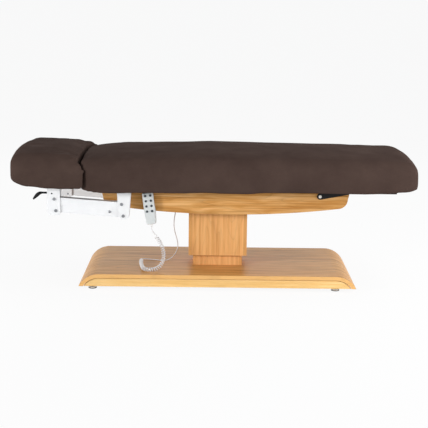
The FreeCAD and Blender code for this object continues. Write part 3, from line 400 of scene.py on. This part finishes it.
lightSettings = [
    dict(name="headKey", place=(-7.6, -6.0, 2.2), aim=(0, 0, 0.4), size=(2.0, 1.6), power=420),
    dict(name="footKey", place=(3.9, -3.0, 1.3), aim=(0, 0, 0.4), size=(1.0, 0.8), power=86),
    dict(name="frontFill", place=(0.4, -4.8, 1.7), aim=(0.1, 0, 0.4), size=(3.4, 2.2), power=4),
    dict(name="lowFill", place=(-0.2, -4.2, 0.45), aim=(0, 0.2, 0.4), size=(4.5, 0.8), power=9),
    dict(name="topSoftbox", place=(2.6, -0.4, 2.8), aim=(0.4, 0, 0.5), size=(2.6, 2.6), power=54),
    dict(name="headSide", place=(-3.3, -0.9, 0.85), aim=(-0.2, 0, 0.1), size=(1.4, 0.6), power=18),
    dict(name="footSide", place=(3.3, -0.9, 0.85), aim=(0.2, 0, 0.1), size=(1.4, 0.6), power=15),
    dict(name="backSoftbox", place=(-0.2, 4.2, 2.6), aim=(0, 0, 0.5), size=(3.5, 2.0), power=28),
]


def makeLights():
    for spec in lightSettings:
        data = bpy.data.lights.new(spec["name"], "AREA")
        data.shape = "RECTANGLE"
        data.size, data.size_y = spec["size"]
        data.energy = spec["power"]
        lamp = bpy.data.objects.new(spec["name"], data)
        aim = Vector(spec["aim"]) - Vector(spec["place"])
        turn = aim.to_track_quat("-Z", "Y").to_matrix().to_4x4()
        lamp.matrix_world = Matrix.Translation(spec["place"]) @ turn
        scene.collection.objects.link(lamp)


# studio: pale sky and floor that look white, while the sky lights the object softly
stageSettings = dict(skyColour=(0.93, 0.96, 1.0, 1), seenSky=0.97, skyLight=0.34, seenLight=1.0,
                     floorTone=0.86, floorRough=0.9, floorGlow=0.92, floorSize=400.0, floorDrop=-0.001)


def seenRays(tree):
    rays = tree.nodes.new("ShaderNodeLightPath")
    seen = mathNode(tree, "MAXIMUM", rays.outputs["Is Camera Ray"], rays.outputs["Is Glossy Ray"])
    return mathNode(tree, "MAXIMUM", seen, rays.outputs["Is Transmission Ray"])


def makeStage(spec):
    world = bpy.data.worlds.new("studio")
    scene.world = world
    world.use_nodes = True
    tree = world.node_tree
    light = tree.nodes["Background"]
    strength = tree.nodes.new("ShaderNodeMapRange")
    strength.inputs["To Min"].default_value = spec["skyLight"]
    strength.inputs["To Max"].default_value = spec["seenLight"]
    seen = seenRays(tree)
    sky = mixColour(tree, "MIX", seen, spec["skyColour"], grey(spec["seenSky"]))
    tree.links.new(sky, light.inputs["Color"])
    tree.links.new(seen, strength.inputs["Value"])
    tree.links.new(strength.outputs["Result"], light.inputs["Strength"])
    mat, tree, shader = startMaterial("floorWhite", spec["floorRough"], 0.0)
    shader.inputs["Base Color"].default_value = grey(spec["floorTone"])
    glow = tree.nodes.new("ShaderNodeEmission")
    glow.inputs["Color"].default_value = grey(1.0)
    mix = tree.nodes.new("ShaderNodeMixShader")
    share = mathNode(tree, "MULTIPLY", seenRays(tree), spec["floorGlow"])
    tree.links.new(share, mix.inputs[0])
    tree.links.new(shader.outputs["BSDF"], mix.inputs[1])
    tree.links.new(glow.outputs["Emission"], mix.inputs[2])
    tree.links.new(mix.outputs["Shader"], tree.nodes["Material Output"].inputs["Surface"])
    bm = bmesh.new()
    bmesh.ops.create_grid(bm, x_segments=1, y_segments=1, size=spec["floorSize"])
    bmesh.ops.translate(bm, verts=bm.verts, vec=(0, 0, spec["floorDrop"]))
    addObject("floor", bm, [mat], smooth=False)


makeCamera(**cameraSettings)
makeLights()
makeStage(stageSettings)
scene.view_settings.view_transform = "Standard"
print("camera, light and floor placed")


# cord: one line from the handset, through the curls, to the gland under the control box (routes in mm)
cordSettings = dict(
    radius=0.0023, curlRadius=0.0088, turns=42, ramp=3.0, perTurn=14, length=2.80,
    lead=[(-322.06, -249.0, 310.34), (-320.11, -249.0, 294.46)],
    curls=[(-314.0, -249.0, 284.0), (-304.5, -249.5, 269.0), (-297.0, -250.0, 257.0), (-281.0, -250.0, 235.0),
           (-268.0, -250.0, 208.0), (-260.0, -250.0, 177.0), (-259.5, -250.0, 147.0), (-268.0, -252.0, 121.0),
           (-283.0, -259.0, 102.0), (-303.0, -271.0, 94.0), (-325.0, -278.0, 93.0), (-346.0, -275.0, 93.0),
           (-361.0, -260.0, 93.0), (-369.0, -232.0, 93.0), (-375.0, -192.0, 93.0), (-381.0, -148.0, 93.0),
           (-385.0, -104.0, 93.0), (-386.0, -62.0, 93.0), (-382.0, -30.0, 93.0)],
    tail=[(-377.0, -13.0, 90.0), (-366.0, -1.0, 87.0), (-346.0, 3.0, 84.5), (-318.0, -4.0, 84.0),
          (-290.0, -18.0, 84.0), (-262.0, -23.0, 84.4), (-240.0, -18.0, 89.0), (-221.0, -10.0, 101.0),
          (-205.0, -5.0, 121.0), (-195.0, -2.0, 146.0), (-193.0, -1.0, 170.0), (-198.0, -0.5, 196.0),
          (-207.0, 0.0, 224.0), (-214.5, 0.0, 256.0), (-216.0, 0.0, 288.0), (-212.0, 0.0, 318.0),
          (-207.0, 0.0, 346.0), (-205.0, 0.0, 374.0)],
)


def splineObject(name, points, bevel=0.0, resolution=3):
    data = bpy.data.curves.new(name, "CURVE")
    data.dimensions = "3D"
    data.resolution_u = resolution
    data.bevel_depth = bevel
    data.bevel_resolution = 3
    data.use_fill_caps = bevel > 0
    line = data.splines.new("NURBS")
    line.points.add(len(points) - 1)
    for spot, point in zip(line.points, points):
        spot.co = (*point, 1)
    line.order_u = 3
    line.use_endpoint_u = True
    obj = bpy.data.objects.new(name, data)
    scene.collection.objects.link(obj)
    return obj


def curlPoints(spec):
    guide = splineObject("curlGuide", [Vector(p) / 1000 for p in spec["curls"]], resolution=40)
    path = [v.co.copy() for v in evaluated(guide).vertices]
    bpy.data.objects.remove(guide)
    reach = [0.0]
    for a, b in zip(path, path[1:]):
        reach.append(reach[-1] + (b - a).length)
    # evenly spaced spots along the guide
    count = spec["turns"] * spec["perTurn"]
    spots, k = [], 0
    for number in range(count + 1):
        target = reach[-1] * number / count
        while k < len(path) - 2 and reach[k + 1] < target:
            k += 1
        share = (target - reach[k]) / (reach[k + 1] - reach[k])
        spots.append(path[k].lerp(path[k + 1], share))
    # the curls open gradually from the straight lead and close again before the tail
    shares = [min(1.0, min(n, count - n) / spec["perTurn"] / spec["ramp"]) for n in range(count + 1)]
    step = 2 * math.pi * spec["turns"] / sum(share ** 2 for share in shares)
    across = Vector((0, 1, 0))
    wound, angle = [], 0.0
    for number, (spot, share) in enumerate(zip(spots, shares)):
        ahead = (spots[min(number + 1, count)] - spots[max(number - 1, 0)]).normalized()
        across = (across - ahead * across.dot(ahead)).normalized()
        upward = ahead.cross(across)
        radius = spec["curlRadius"] * smoothStep(0.0, 1.0, share)
        angle += step * share ** 2
        wound.append(spot + across * (radius * math.cos(angle)) + upward * (radius * math.sin(angle)))
    return wound


def makeCord(spec):
    points = [Vector(p) / 1000 for p in spec["lead"]]
    exitPoint = points[0].copy()
    points += curlPoints(spec)
    points += [Vector(p) / 1000 for p in spec["tail"]]
    cord = splineObject("handsetCord", points, spec["radius"], 3)
    cord.data.materials.append(cordPlastic)
    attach(cord, "lift")
    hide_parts("cord_lead", "cord_curls", "cord_tail")


makeCord(cordSettings)
print("cord wound:", cordSettings["turns"], "curls")


# upholstered pads: a block shaped section by section, remeshed, puffed up as cloth and dressed with creases
padShared = dict(
    half=0.390, topRadius=0.072, lowRadius=0.018, crown=0.018, tuck=0.006, sag=0.006, fullness=0.86,
    cutsAcross=64, cutsAlong=60,
    neckEdge=-0.7, endEdge=0.6, endTighten=0.4, crownLoss=0.5,  # where the ends begin and how they shrink
    neckDepth=0.011, neckDraw=0.002, neckDrop=0.008, neckRise=0.004,
    bulge=0.049, bulgeReach=0.22, nearCorner=0.060, farCorner=0.260, bowReach=0.30,
    liftReach=0.095, liftBand=(0.24, 0.37),
    cornerEase=0.005, easeReach=0.05, easeBand=(0.33, 0.385), easeHeight=(0.35, 0.9),
    rimBand=(0.28, 0.37), rimHeight=0.5,
    pleatPitch=0.030, pleatHeight=0.05, pleatBand=(0.30, 0.38), pleatOut=0.0022,
    puffFrames=20, pressure=4.0, heldHeight=0.004, calmBand=(0.02, 0.10))
# camber, belly and rim: (x, how far the top, the bottom and the lower edge depart there);
# dimples: (x, y, width, depth)
mattressSettings = dict(
    padShared, name="mattress", voxel=0.0124, cap=0.006, bottom=0.5125, top=0.683, neck=-0.6300, end=1.037,
    endDepth=0.092, endDraw=0.030, endDrop=0.056, endRise=0.026, endBow=0.014, neckLift=0.010,
    camber=[(-0.70, 0.031), (-0.62, 0.025), (-0.45, 0.0105), (-0.20, 0.006), (-0.02, 0.0), (0.13, 0.001),
            (0.30, 0.004), (0.47, 0.005), (0.64, 0.007), (0.78, 0.013), (0.90, 0.017), (1.04, 0.018)],
    belly=[(-0.70, 0.0), (0.74, 0.0), (0.86, 0.004), (0.95, 0.008), (1.04, 0.010)],
    rim=[(-0.70, -0.001), (-0.60, -0.004), (-0.50, -0.005), (-0.42, 0.0), (-0.16, 0.001), (-0.06, 0.004),
         (0.03, 0.001), (0.16, -0.001), (0.27, 0.007), (0.45, 0.009), (0.56, 0.004), (0.70, 0.0045),
         (0.86, 0.005), (0.95, 0.002), (1.04, 0.0)],
    sideFrom=0.34, ripple=dict(size=0.0014, scale=(3.1, 4.0, 9.0), shift=(0, 0, 2.0)),
    pleatReach=0.10, pleatUp=0.0030,
    hemHeight=0.08, hem=dict(size=0.002, scale=(4.3, 0, 0), shift=(2.0, 0, 6.0)),
    topFrom=0.6, wave=dict(size=0.0016, scale=(2.3, 3.0, 0), shift=(7.0, 0, 1.0)))
headrestSettings = dict(
    padShared, name="headrestCushion", voxel=0.008, cap=0.005, bottom=0.5285, top=0.690, neck=-0.6440,
    end=-1.049, endDepth=0.080, endDraw=0.022, endDrop=0.046, endRise=0.040, endBow=0.023, neckLift=0.0,
    camber=[(-1.04, 0.0), (-0.93, 0.002), (-0.83, 0.004), (-0.75, 0.009), (-0.66, 0.020)],
    belly=[(-1.04, 0.020), (-0.94, 0.014), (-0.84, 0.004), (-0.76, 0.0), (-0.60, 0.0)],
    rim=[(-1.04, -0.003), (-0.96, -0.005), (-0.86, -0.004), (-0.78, -0.001), (-0.60, 0.0)],
    sideFrom=0.33, ripple=dict(size=0.0016, scale=(6.0, 5.0, 12.0), shift=(0, 0, 0)),
    pleatReach=0.08, pleatUp=0.0016,
    topFrom=0.62, wave=dict(size=0.0018, scale=(5.0, 4.0, 0), shift=(3.0, 0, 4.0)),
    fold=0.0032, foldPitch=0.055, foldSlant=0.6, foldBand=(0.16, 0.36), foldPlace=-0.69,
    foldReach=(0.02, 0.16),
    dimples=[(-0.941, -0.08, 0.030, 0.005), (-0.739, -0.238, 0.022, 0.006), (-1.018, 0.18, 0.018, 0.009),
             (-1.018, 0.24, 0.018, 0.007), (-1.018, 0.31, 0.018, 0.010), (-0.900, 0.10, 0.060, 0.004)])


def tableAt(x, table):
    for (x0, d0), (x1, d1) in zip(table, table[1:]):
        if x <= x1:
            return d0 + (d1 - d0) * smoothStep(x0, x1, x)
    return table[-1][1]


def sectionAt(u, spec):
    # place and size of one cross section; u runs from the neck at -1 to the end at 1
    way = math.copysign(1, spec["end"] - spec["neck"])
    neckEdge, endEdge = spec["neckEdge"], spec["endEdge"]
    if u > endEdge:
        phi = (u - endEdge) / (1 - endEdge) * math.pi / 2
        x = spec["end"] - way * spec["endDepth"] * (1 - math.sin(phi) ** spec["fullness"])
        draw, drop, rise = spec["endDraw"], spec["endDrop"], spec["endRise"]
    elif u < neckEdge:
        phi = (neckEdge - u) / (1 + neckEdge) * math.pi / 2
        x = spec["neck"] + way * spec["neckDepth"] * (1 - math.sin(phi))
        draw, drop, rise = spec["neckDraw"], spec["neckDrop"], spec["neckRise"]
    else:
        phi = 0.0
        plainStart = spec["neck"] + way * spec["neckDepth"]
        plainEnd = spec["end"] - way * spec["endDepth"]
        x = plainStart + (plainEnd - plainStart) * (u - neckEdge) / (endEdge - neckEdge)
        draw = drop = rise = 0.0
    shrink = 1 - max(0.0, math.cos(phi)) ** spec["fullness"]
    top = spec["top"] - drop * shrink - tableAt(x, spec["camber"])
    bottom = spec["bottom"] + rise * shrink + tableAt(x, spec["belly"])
    return x, spec["half"] - draw * shrink, bottom, top, shrink


def padPoint(co, spec):
    u, s, t = co
    x, half, bottom, top, shrink = sectionAt(u, spec)
    y = s * half
    z = bottom + (top - bottom) * (t + 1) / 2
    # rounded edges along the pad
    radius = (spec["topRadius"] if t > 0 else spec["lowRadius"]) * (1 - spec["endTighten"] * shrink)
    innerY = max(-half + radius, min(half - radius, y))
    innerZ = max(bottom + radius, min(top - radius, z))
    away = Vector((0, y - innerY, z - innerZ))
    if away.length > radius:
        away = away.normalized() * radius
    y, z = innerY + away.y, innerZ + away.z
    # crown on top, tucked-in sides
    tall = (z - bottom) / (top - bottom)
    level = min(1, max(0, tall))
    z += spec["crown"] * (1 - (y / half) ** 2) * tall * (1 - spec["crownLoss"] * shrink)
    y -= math.copysign(spec["tuck"], y) * abs(y / half) * (1 - math.sin(math.pi * level))
    # neck corners: lifted below and eased away from the gap
    fromNeck = abs(x - spec["neck"])
    corner = (1 - smoothStep(0.0, spec["liftReach"], fromNeck)) * smoothStep(*spec["liftBand"], abs(y))
    z += spec["neckLift"] * corner * (1 - level)
    edge = (1 - smoothStep(0.0, spec["easeReach"], fromNeck)) * smoothStep(*spec["easeBand"], abs(y))
    low = 1 - smoothStep(*spec["easeHeight"], tall)
    x += math.copysign(spec["cornerEase"], spec["end"] - spec["neck"]) * edge * low
    # the lower edge sags over the deck
    sag = spec["sag"] - tableAt(x, spec["rim"])
    z -= sag * smoothStep(*spec["rimBand"], abs(y)) * (1 - smoothStep(0.0, spec["rimHeight"], tall))
    # the neck bulges towards the head, and the end is bowed
    nearNeck = 1 - smoothStep(0.0, spec["bulgeReach"], abs(x - spec["neck"]))
    reach = spec["nearCorner"] if y < 0 else spec["farCorner"]
    turned = max(0.0, abs(y) - spec["half"] + reach) / reach
    x -= spec["bulge"] * (1 - turned * turned) * nearNeck
    nearEnd = 1 - smoothStep(0.0, spec["bowReach"], abs(x - spec["end"]))
    x += math.copysign(spec["endBow"], spec["neck"] - spec["end"]) * (y / half) ** 2 * nearEnd
    return x, y, z


def padBlock(spec):
    bm = bmesh.new()
    bmesh.ops.create_cube(bm, size=2.0)
    along = [e for e in bm.edges if abs(e.verts[0].co.x - e.verts[1].co.x) > 1]
    bmesh.ops.subdivide_edges(bm, edges=along, cuts=spec["cutsAlong"], use_grid_fill=True)
    across = [e for e in bm.edges if abs(e.verts[0].co.x - e.verts[1].co.x) < 1e-6
              and (e.verts[0].co - e.verts[1].co).length > 1]
    bmesh.ops.subdivide_edges(bm, edges=across, cuts=spec["cutsAcross"], use_grid_fill=True)
    for v in bm.verts:
        v.co = padPoint(v.co, spec)
    bmesh.ops.recalc_face_normals(bm, faces=bm.faces)
    return bm


def remeshed(obj, voxel):
    mod = obj.modifiers.new("even", "REMESH")
    mod.mode = "VOXEL"
    mod.voxel_size = voxel
    mesh = evaluated(obj)
    obj.modifiers.clear()
    obj.data = mesh


def puffed(obj, spec):
    # the underside is held by the deck, and the rest swells a little
    before = [v.co.copy() for v in obj.data.vertices]
    held = obj.vertex_groups.new(name="held")
    heldBelow = spec["bottom"] + spec["heldHeight"]
    held.add([i for i, co in enumerate(before) if co.z < heldBelow], 1.0, "REPLACE")
    cloth = obj.modifiers.new("puff", "CLOTH")
    setup = cloth.settings
    setup.quality = 4
    setup.use_pressure = True
    setup.uniform_pressure_force = spec["pressure"]
    setup.vertex_group_mass = "held"
    setup.effector_weights.gravity = 0
    cloth.collision_settings.use_collision = False
    cloth.point_cache.frame_start = 1
    cloth.point_cache.frame_end = spec["puffFrames"]
    for number in range(1, spec["puffFrames"] + 1):
        scene.frame_set(number)
    mesh = evaluated(obj)
    obj.modifiers.clear()
    obj.vertex_groups.clear()
    moved = 0.0
    face = spec["neck"] - spec["bulge"] / 2
    for v, start in zip(mesh.vertices, before):
        step = v.co - start
        moved = max(moved, step.length)
        if step.length > spec["cap"]:
            step *= spec["cap"] / step.length
        step.x *= smoothStep(*spec["calmBand"], abs(start.x - face))  # the neck's two faces keep apart
        v.co = start + step
    obj.data = mesh
    scene.frame_set(1)
    print("puffed", obj.name, "most moved", round(moved * 1000, 2), "mm")


def dressPad(obj, creases):
    for v in obj.data.vertices:
        v.co += creases(v.co.copy())
    obj.data.polygons.foreach_set("use_smooth", [True] * len(obj.data.polygons))
    obj.data.materials.clear()
    obj.data.materials.append(upholstery)
    finer = obj.modifiers.new("finer", "SUBSURF")
    finer.levels = 1
    finer.render_levels = 1


def uneven(co, size, scale, shift):
    return size * noise.noise(Vector([c * s + d for c, s, d in zip(co, scale, shift)]))


def sideCreases(co, spec):
    # the sides ripple, with short pleats where the cover is pulled under at the neck corners
    side = math.copysign(1, co.y) if abs(co.y) > spec["sideFrom"] else 0.0
    low = 1 - smoothStep(0.0, spec["pleatHeight"], co.z - spec["bottom"])
    nearNeck = 1 - smoothStep(0.0, spec["pleatReach"], abs(co.x - spec["neck"]))
    outer = smoothStep(*spec["pleatBand"], abs(co.y))
    pleat = low * nearNeck * outer * math.sin((co.x - spec["neck"]) * 2 * math.pi / spec["pleatPitch"])
    out = Vector((0, 0, 0))
    out.y += side * uneven(co, **spec["ripple"])
    out.y += side * spec["pleatOut"] * pleat
    out.z += spec["pleatUp"] * pleat
    return out


def mattressCreases(co):
    spec = mattressSettings
    out = sideCreases(co, spec)
    if abs(co.y) > spec["sideFrom"]:
        low = 1 - smoothStep(0.0, spec["hemHeight"], co.z - spec["bottom"])
        out.z += low * uneven(co, **spec["hem"])
    if co.z > spec["topFrom"]:
        out.z += uneven(co, **spec["wave"])
    return out


def headrestCreases(co):
    spec = headrestSettings
    out = sideCreases(co, spec)
    if co.z > spec["topFrom"]:
        for x, y, width, depth in spec["dimples"]:
            away = (co.x - x) ** 2 + (co.y - y) ** 2
            out.z -= depth * math.exp(-away / (2 * width * width))
        nearFold = 1 - smoothStep(*spec["foldReach"], abs(co.x - spec["foldPlace"]))
        corner = smoothStep(*spec["foldBand"], abs(co.y)) * nearFold
        slant = co.x * spec["foldSlant"] + abs(co.y)
        out.z += spec["fold"] * corner * math.sin(slant * 2 * math.pi / spec["foldPitch"])
        out.z += uneven(co, **spec["wave"])
    return out


def makePad(spec, creases):
    pad = addObject(spec["name"], padBlock(spec), [upholstery])
    remeshed(pad, spec["voxel"])
    puffed(pad, spec)
    dressPad(pad, creases)
    return pad


def neckFace(pad, furthest, height=0.6, heightBand=0.03, halfWidth=0.02):
    spots = [v.co for v in pad.data.vertices]
    return furthest(c.x for c in spots if abs(c.z - height) < heightBand and abs(c.y) < halfWidth)


mattress = makePad(mattressSettings, mattressCreases)
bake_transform(mattress)
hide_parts("main_mattress", "knee_foam", "leg_mattress")
headrestCushion = makePad(headrestSettings, headrestCreases)
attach(headrestCushion, "headrest")
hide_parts("headrest_pad")
print("pads upholstered, neck gap", round(neckFace(mattress, min) - neckFace(headrestCushion, max), 4))


# handset with its keys and strain reliefs
handsetSettings = dict(
    top=(-0.344, -0.249, 0.489), tilt=math.radians(-7.0), length=0.164, topWidth=0.057, endWidth=0.048,
    thickness=0.024, clearance=0.0006, taperFrom=0.45, thinning=0.12, endRadius=0.010, edgeRadius=0.005,
    sharpAngle=0.8, seam=0.001, seamWidth=0.0006, darkFrom=0.0016,
    backFrom=0.0012, backSide=0.012, backProud=0.0036, backSwell=(0.40, 0.62),
    keyAcross=0.026, keyAlong=0.027, keyFirst=0.014, keyRadius=0.0062, keyFace=-0.0015,
    keyDome=[(0.0, 0.0026), (0.5, 0.0024), (0.8, 0.0018), (0.95, 0.0010), (1.0, 0.0)],
    skirt=-0.0010, stemRadius=0.003, stemEnd=-0.004)
handsetTurn = Matrix.Translation(handsetSettings["top"]) @ Matrix.Rotation(handsetSettings["tilt"], 4, "Y")


def rounded(bm, edges, radius, segments):
    bmesh.ops.bevel(bm, geom=edges, offset=radius, offset_type="OFFSET", affect="EDGES", segments=segments,
                    profile=0.5, material=-1)


def makeHandset(spec):
    bm = bmesh.new()
    bmesh.ops.create_cube(bm, size=1.0)
    depth = spec["thickness"] - spec["clearance"]
    bmesh.ops.scale(bm, vec=(spec["topWidth"], depth, spec["length"]), verts=bm.verts)
    bmesh.ops.translate(bm, vec=(0, 0, -spec["length"] / 2), verts=bm.verts)
    uprights = [e for e in bm.edges if abs(e.verts[0].co.z - e.verts[1].co.z) > spec["length"] / 2]
    bmesh.ops.subdivide_edges(bm, edges=uprights, cuts=5, use_grid_fill=True)
    for v in bm.verts:
        low = smoothStep(spec["taperFrom"], 1.0, -v.co.z / spec["length"])
        v.co.x *= 1 + (spec["endWidth"] / spec["topWidth"] - 1) * low
        v.co.y *= 1 - spec["thinning"] * low
    ends = [e for e in bm.edges if all(v.co.z < 0.001 - spec["length"] for v in e.verts)
            and abs(e.verts[0].co.y - e.verts[1].co.y) > depth / 2]
    rounded(bm, ends, spec["endRadius"], 5)
    sharp = [e for e in bm.edges if len(e.link_faces) == 2 and e.calc_face_angle() > spec["sharpAngle"]]
    rounded(bm, sharp, spec["edgeRadius"], 4)
    # a fine groove where the two shells meet
    seam = bmesh.ops.bisect_plane(bm, geom=bm.verts[:] + bm.edges[:] + bm.faces[:],
                                  plane_co=(0, spec["seam"], 0), plane_no=(0, 1, 0))
    cut = [e for e in seam["geom_cut"] if isinstance(e, bmesh.types.BMEdge)]
    rounded(bm, cut, spec["seamWidth"], 2)
    for f in bm.faces:
        f.material_index = 1 if f.calc_center_median().y > spec["darkFrom"] else 0
    for v in bm.verts:
        if v.co.y > spec["backFrom"] and v.co.x > spec["backSide"]:
            v.co.x += spec["backProud"] * smoothStep(*spec["backSwell"], -v.co.z / spec["length"])
    bmesh.ops.transform(bm, matrix=handsetTurn, verts=bm.verts)
    shell = addObject("handsetShell", bm, [handsetPlastic, handsetDark])
    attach(shell, "lift")
    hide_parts("handset_back", "handset_front")


def spunPiece(profile, steps=32):
    # profile points are (radius, height); spun about Z
    bm = bmesh.new()
    verts = [bm.verts.new((r, 0, z)) for r, z in profile]
    edges = [bm.edges.new(pair) for pair in zip(verts, verts[1:])]
    bmesh.ops.spin(bm, geom=verts + edges, cent=(0, 0, 0), axis=(0, 0, 1), angle=2 * math.pi, steps=steps,
                   use_merge=True)
    bmesh.ops.remove_doubles(bm, verts=bm.verts, dist=1e-6)
    bmesh.ops.recalc_face_normals(bm, faces=bm.faces)
    return bm


def laidDown(bm, turn, place):
    # turns a spun piece's axis from Z to Y and moves it to its place
    bmesh.ops.rotate(bm, verts=bm.verts, cent=(0, 0, 0), matrix=Matrix.Rotation(turn, 3, "X"))
    bmesh.ops.translate(bm, verts=bm.verts, vec=place)


def joinInto(bm, part):
    mesh = bpy.data.meshes.new("joinedPart")
    part.to_mesh(mesh)
    part.free()
    bm.from_mesh(mesh)
    bpy.data.meshes.remove(mesh)


def makeKeys(spec):
    r = spec["keyRadius"]
    profile = [(r * share, height) for share, height in spec["keyDome"]]
    profile += [(r, spec["skirt"]), (spec["stemRadius"], spec["skirt"]),
                (spec["stemRadius"], spec["stemEnd"]), (0, spec["stemEnd"])]
    face = -spec["thickness"] / 2 + spec["keyFace"]
    for number in range(8):
        row, column = divmod(number, 2)
        bm = spunPiece(profile, 24)
        laidDown(bm, math.pi / 2, ((column - 0.5) * spec["keyAcross"], face,
                                   -spec["keyFirst"] - row * spec["keyAlong"]))
        bmesh.ops.transform(bm, matrix=handsetTurn, verts=bm.verts)
        key = addObject("handsetKey%d" % (number + 1), bm, [keyPlastic])
        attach(key, "key_%d" % (number + 1))
        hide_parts("key_%d" % (number + 1))


# strain reliefs at the handset and under the control box; rib: (radius, height) shares of one rib
reliefSettings = dict(ribs=4, top=0.0062, tip=0.0034, length=0.016, boxLength=0.041,
                      boxExit=(-0.205, 0, 0.415), rib=[(1.0, 0.15), (1.0, 0.6), (0.82, 0.7), (0.82, 1)])


def makeReliefs(spec):
    bm = bmesh.new()
    handsetEnd = handsetTurn @ Matrix.Translation((0, 0, -handsetSettings["length"]))
    for length, place in ((spec["length"], handsetEnd),
                          (spec["boxLength"], Matrix.Translation(spec["boxExit"]))):
        profile = [(0, 0), (spec["top"], 0)]
        for k in range(spec["ribs"]):
            r = spec["top"] + (spec["tip"] - spec["top"]) * (k + 0.5) / spec["ribs"]
            profile += [(r * wide, -length * (k + down) / spec["ribs"]) for wide, down in spec["rib"]]
        profile += [(0, -length)]
        one = spunPiece(profile, 20)
        bmesh.ops.transform(one, matrix=place, verts=one.verts)
        joinInto(bm, one)
    relief = addObject("strainReliefs", bm, [cordPlastic])
    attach(relief, "lift")
    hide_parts("cord_glands")


makeHandset(handsetSettings)
makeKeys(handsetSettings)
makeReliefs(reliefSettings)
print("handset made")


# release lever: a flat bar with a moulded grip; grip points are (x, z, radius)
leverSettings = dict(
    pivot=(-0.8292, 0.485), bend=-0.8912, barHeight=0.010, barThickness=0.006, barEdge=0.0012,
    pinRadius=0.004,
    grip=[(-0.8800, 0.4850, 0.0052), (-0.8860, 0.4848, 0.0066), (-0.8960, 0.4820, 0.0088),
          (-0.9060, 0.4740, 0.0100), (-0.9160, 0.4640, 0.0080), (-0.9230, 0.4560, 0.0058),
          (-0.9275, 0.4505, 0.0036)])


def makeLever(spec):
    cad = [v.co for v in nodes["release_lever"].data.vertices]
    gripSides = [c.y for c in cad if c.x < spec["bend"]]
    middle = (min(gripSides) + max(gripSides)) / 2
    pinEnds = (min(c.y for c in cad), max(c.y for c in cad))
    pivotX, pivotZ = spec["pivot"]
    bm = bmesh.new()
    bmesh.ops.create_cube(bm, size=1.0)
    length = pivotX + spec["barHeight"] - spec["bend"]
    bmesh.ops.scale(bm, vec=(length, spec["barThickness"], spec["barHeight"]), verts=bm.verts)
    bmesh.ops.translate(bm, vec=(spec["bend"] + length / 2, middle, pivotZ), verts=bm.verts)
    rounded(bm, bm.edges[:], spec["barEdge"], 3)
    pin = spunPiece([(0, pinEnds[0]), (spec["pinRadius"], pinEnds[0]), (spec["pinRadius"], pinEnds[1]),
                     (0, pinEnds[1])], 28)
    laidDown(pin, -math.pi / 2, (pivotX, 0, pivotZ))
    guide = splineObject("leverGrip", [(x, middle, z) for x, z, r in spec["grip"]], 1.0, 8)
    for spot, (x, z, r) in zip(guide.data.splines[0].points, spec["grip"]):
        spot.radius = r
    grip = evaluated(guide)
    bpy.data.objects.remove(guide)
    joinInto(bm, pin)
    bm.from_mesh(grip)
    lever = addObject("releaseLever", bm, [blackPaint])
    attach(lever, "release_lever")
    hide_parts("release_lever")


# bright cap on the foot pin of the gas spring
capSettings = dict(
    rimDepth=0.0005,
    profile=[(0, 0.0036), (0.0030, 0.0036), (0.0030, 0.0022), (0.0052, 0.0030), (0.0068, 0.0018),
             (0.0072, 0.0), (0.0072, -0.0022), (0, -0.0022)])


def makeSpringCap(spec):
    cad = [v.co for v in nodes["gas_spring_cylinder"].data.vertices]
    front = min(c.y for c in cad)
    rim = [c for c in cad if c.y < front + spec["rimDepth"]]
    centre = sum(rim, Vector()) / len(rim)
    bm = spunPiece(spec["profile"], 28)
    laidDown(bm, math.pi / 2, (centre.x, front, centre.z))
    cap = addObject("springPinCap", bm, [zincPlate])
    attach(cap, "gas_spring_cylinder")


makeLever(leverSettings)
makeSpringCap(capSettings)
print("lever and cap made")


# levelling feet: a rubber-soled disc with a plated band and a threaded stud
footSettings = dict(
    spots={"head_near": (-0.622, -0.3045), "head_far": (-0.622, 0.3045), "end_near": (0.625, -0.3045),
           "end_far": (0.625, 0.3045)},
    profile=[(0, 0.0), (0.0190, 0.0), (0.0205, 0.0006), (0.0215, 0.0022), (0.0215, 0.0050), (0.0200, 0.0052),
             (0.0200, 0.0104), (0.0210, 0.0106), (0.0210, 0.0130), (0.0200, 0.0140), (0.0090, 0.0142),
             (0.0088, 0.0192), (0.0048, 0.0194), (0.0048, 0.0380), (0, 0.0380)],
    bandLow=0.0051, bandHigh=0.0105, studFrom=0.0135)


def makeFeet(spec):
    for name, (x, y) in spec["spots"].items():
        bm = spunPiece(spec["profile"], 40)
        for f in bm.faces:
            height = f.calc_center_median().z
            bright = spec["bandLow"] < height < spec["bandHigh"] or height > spec["studFrom"]
            f.material_index = 1 if bright else 0
        bmesh.ops.translate(bm, verts=bm.verts, vec=(x, y, 0))
        foot = addObject("levellingFoot_" + name, bm, [footRubber, satinSteel])
        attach(foot, "foot_" + name)
        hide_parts("levelling_foot_" + name)


makeFeet(footSettings)
print("feet made")
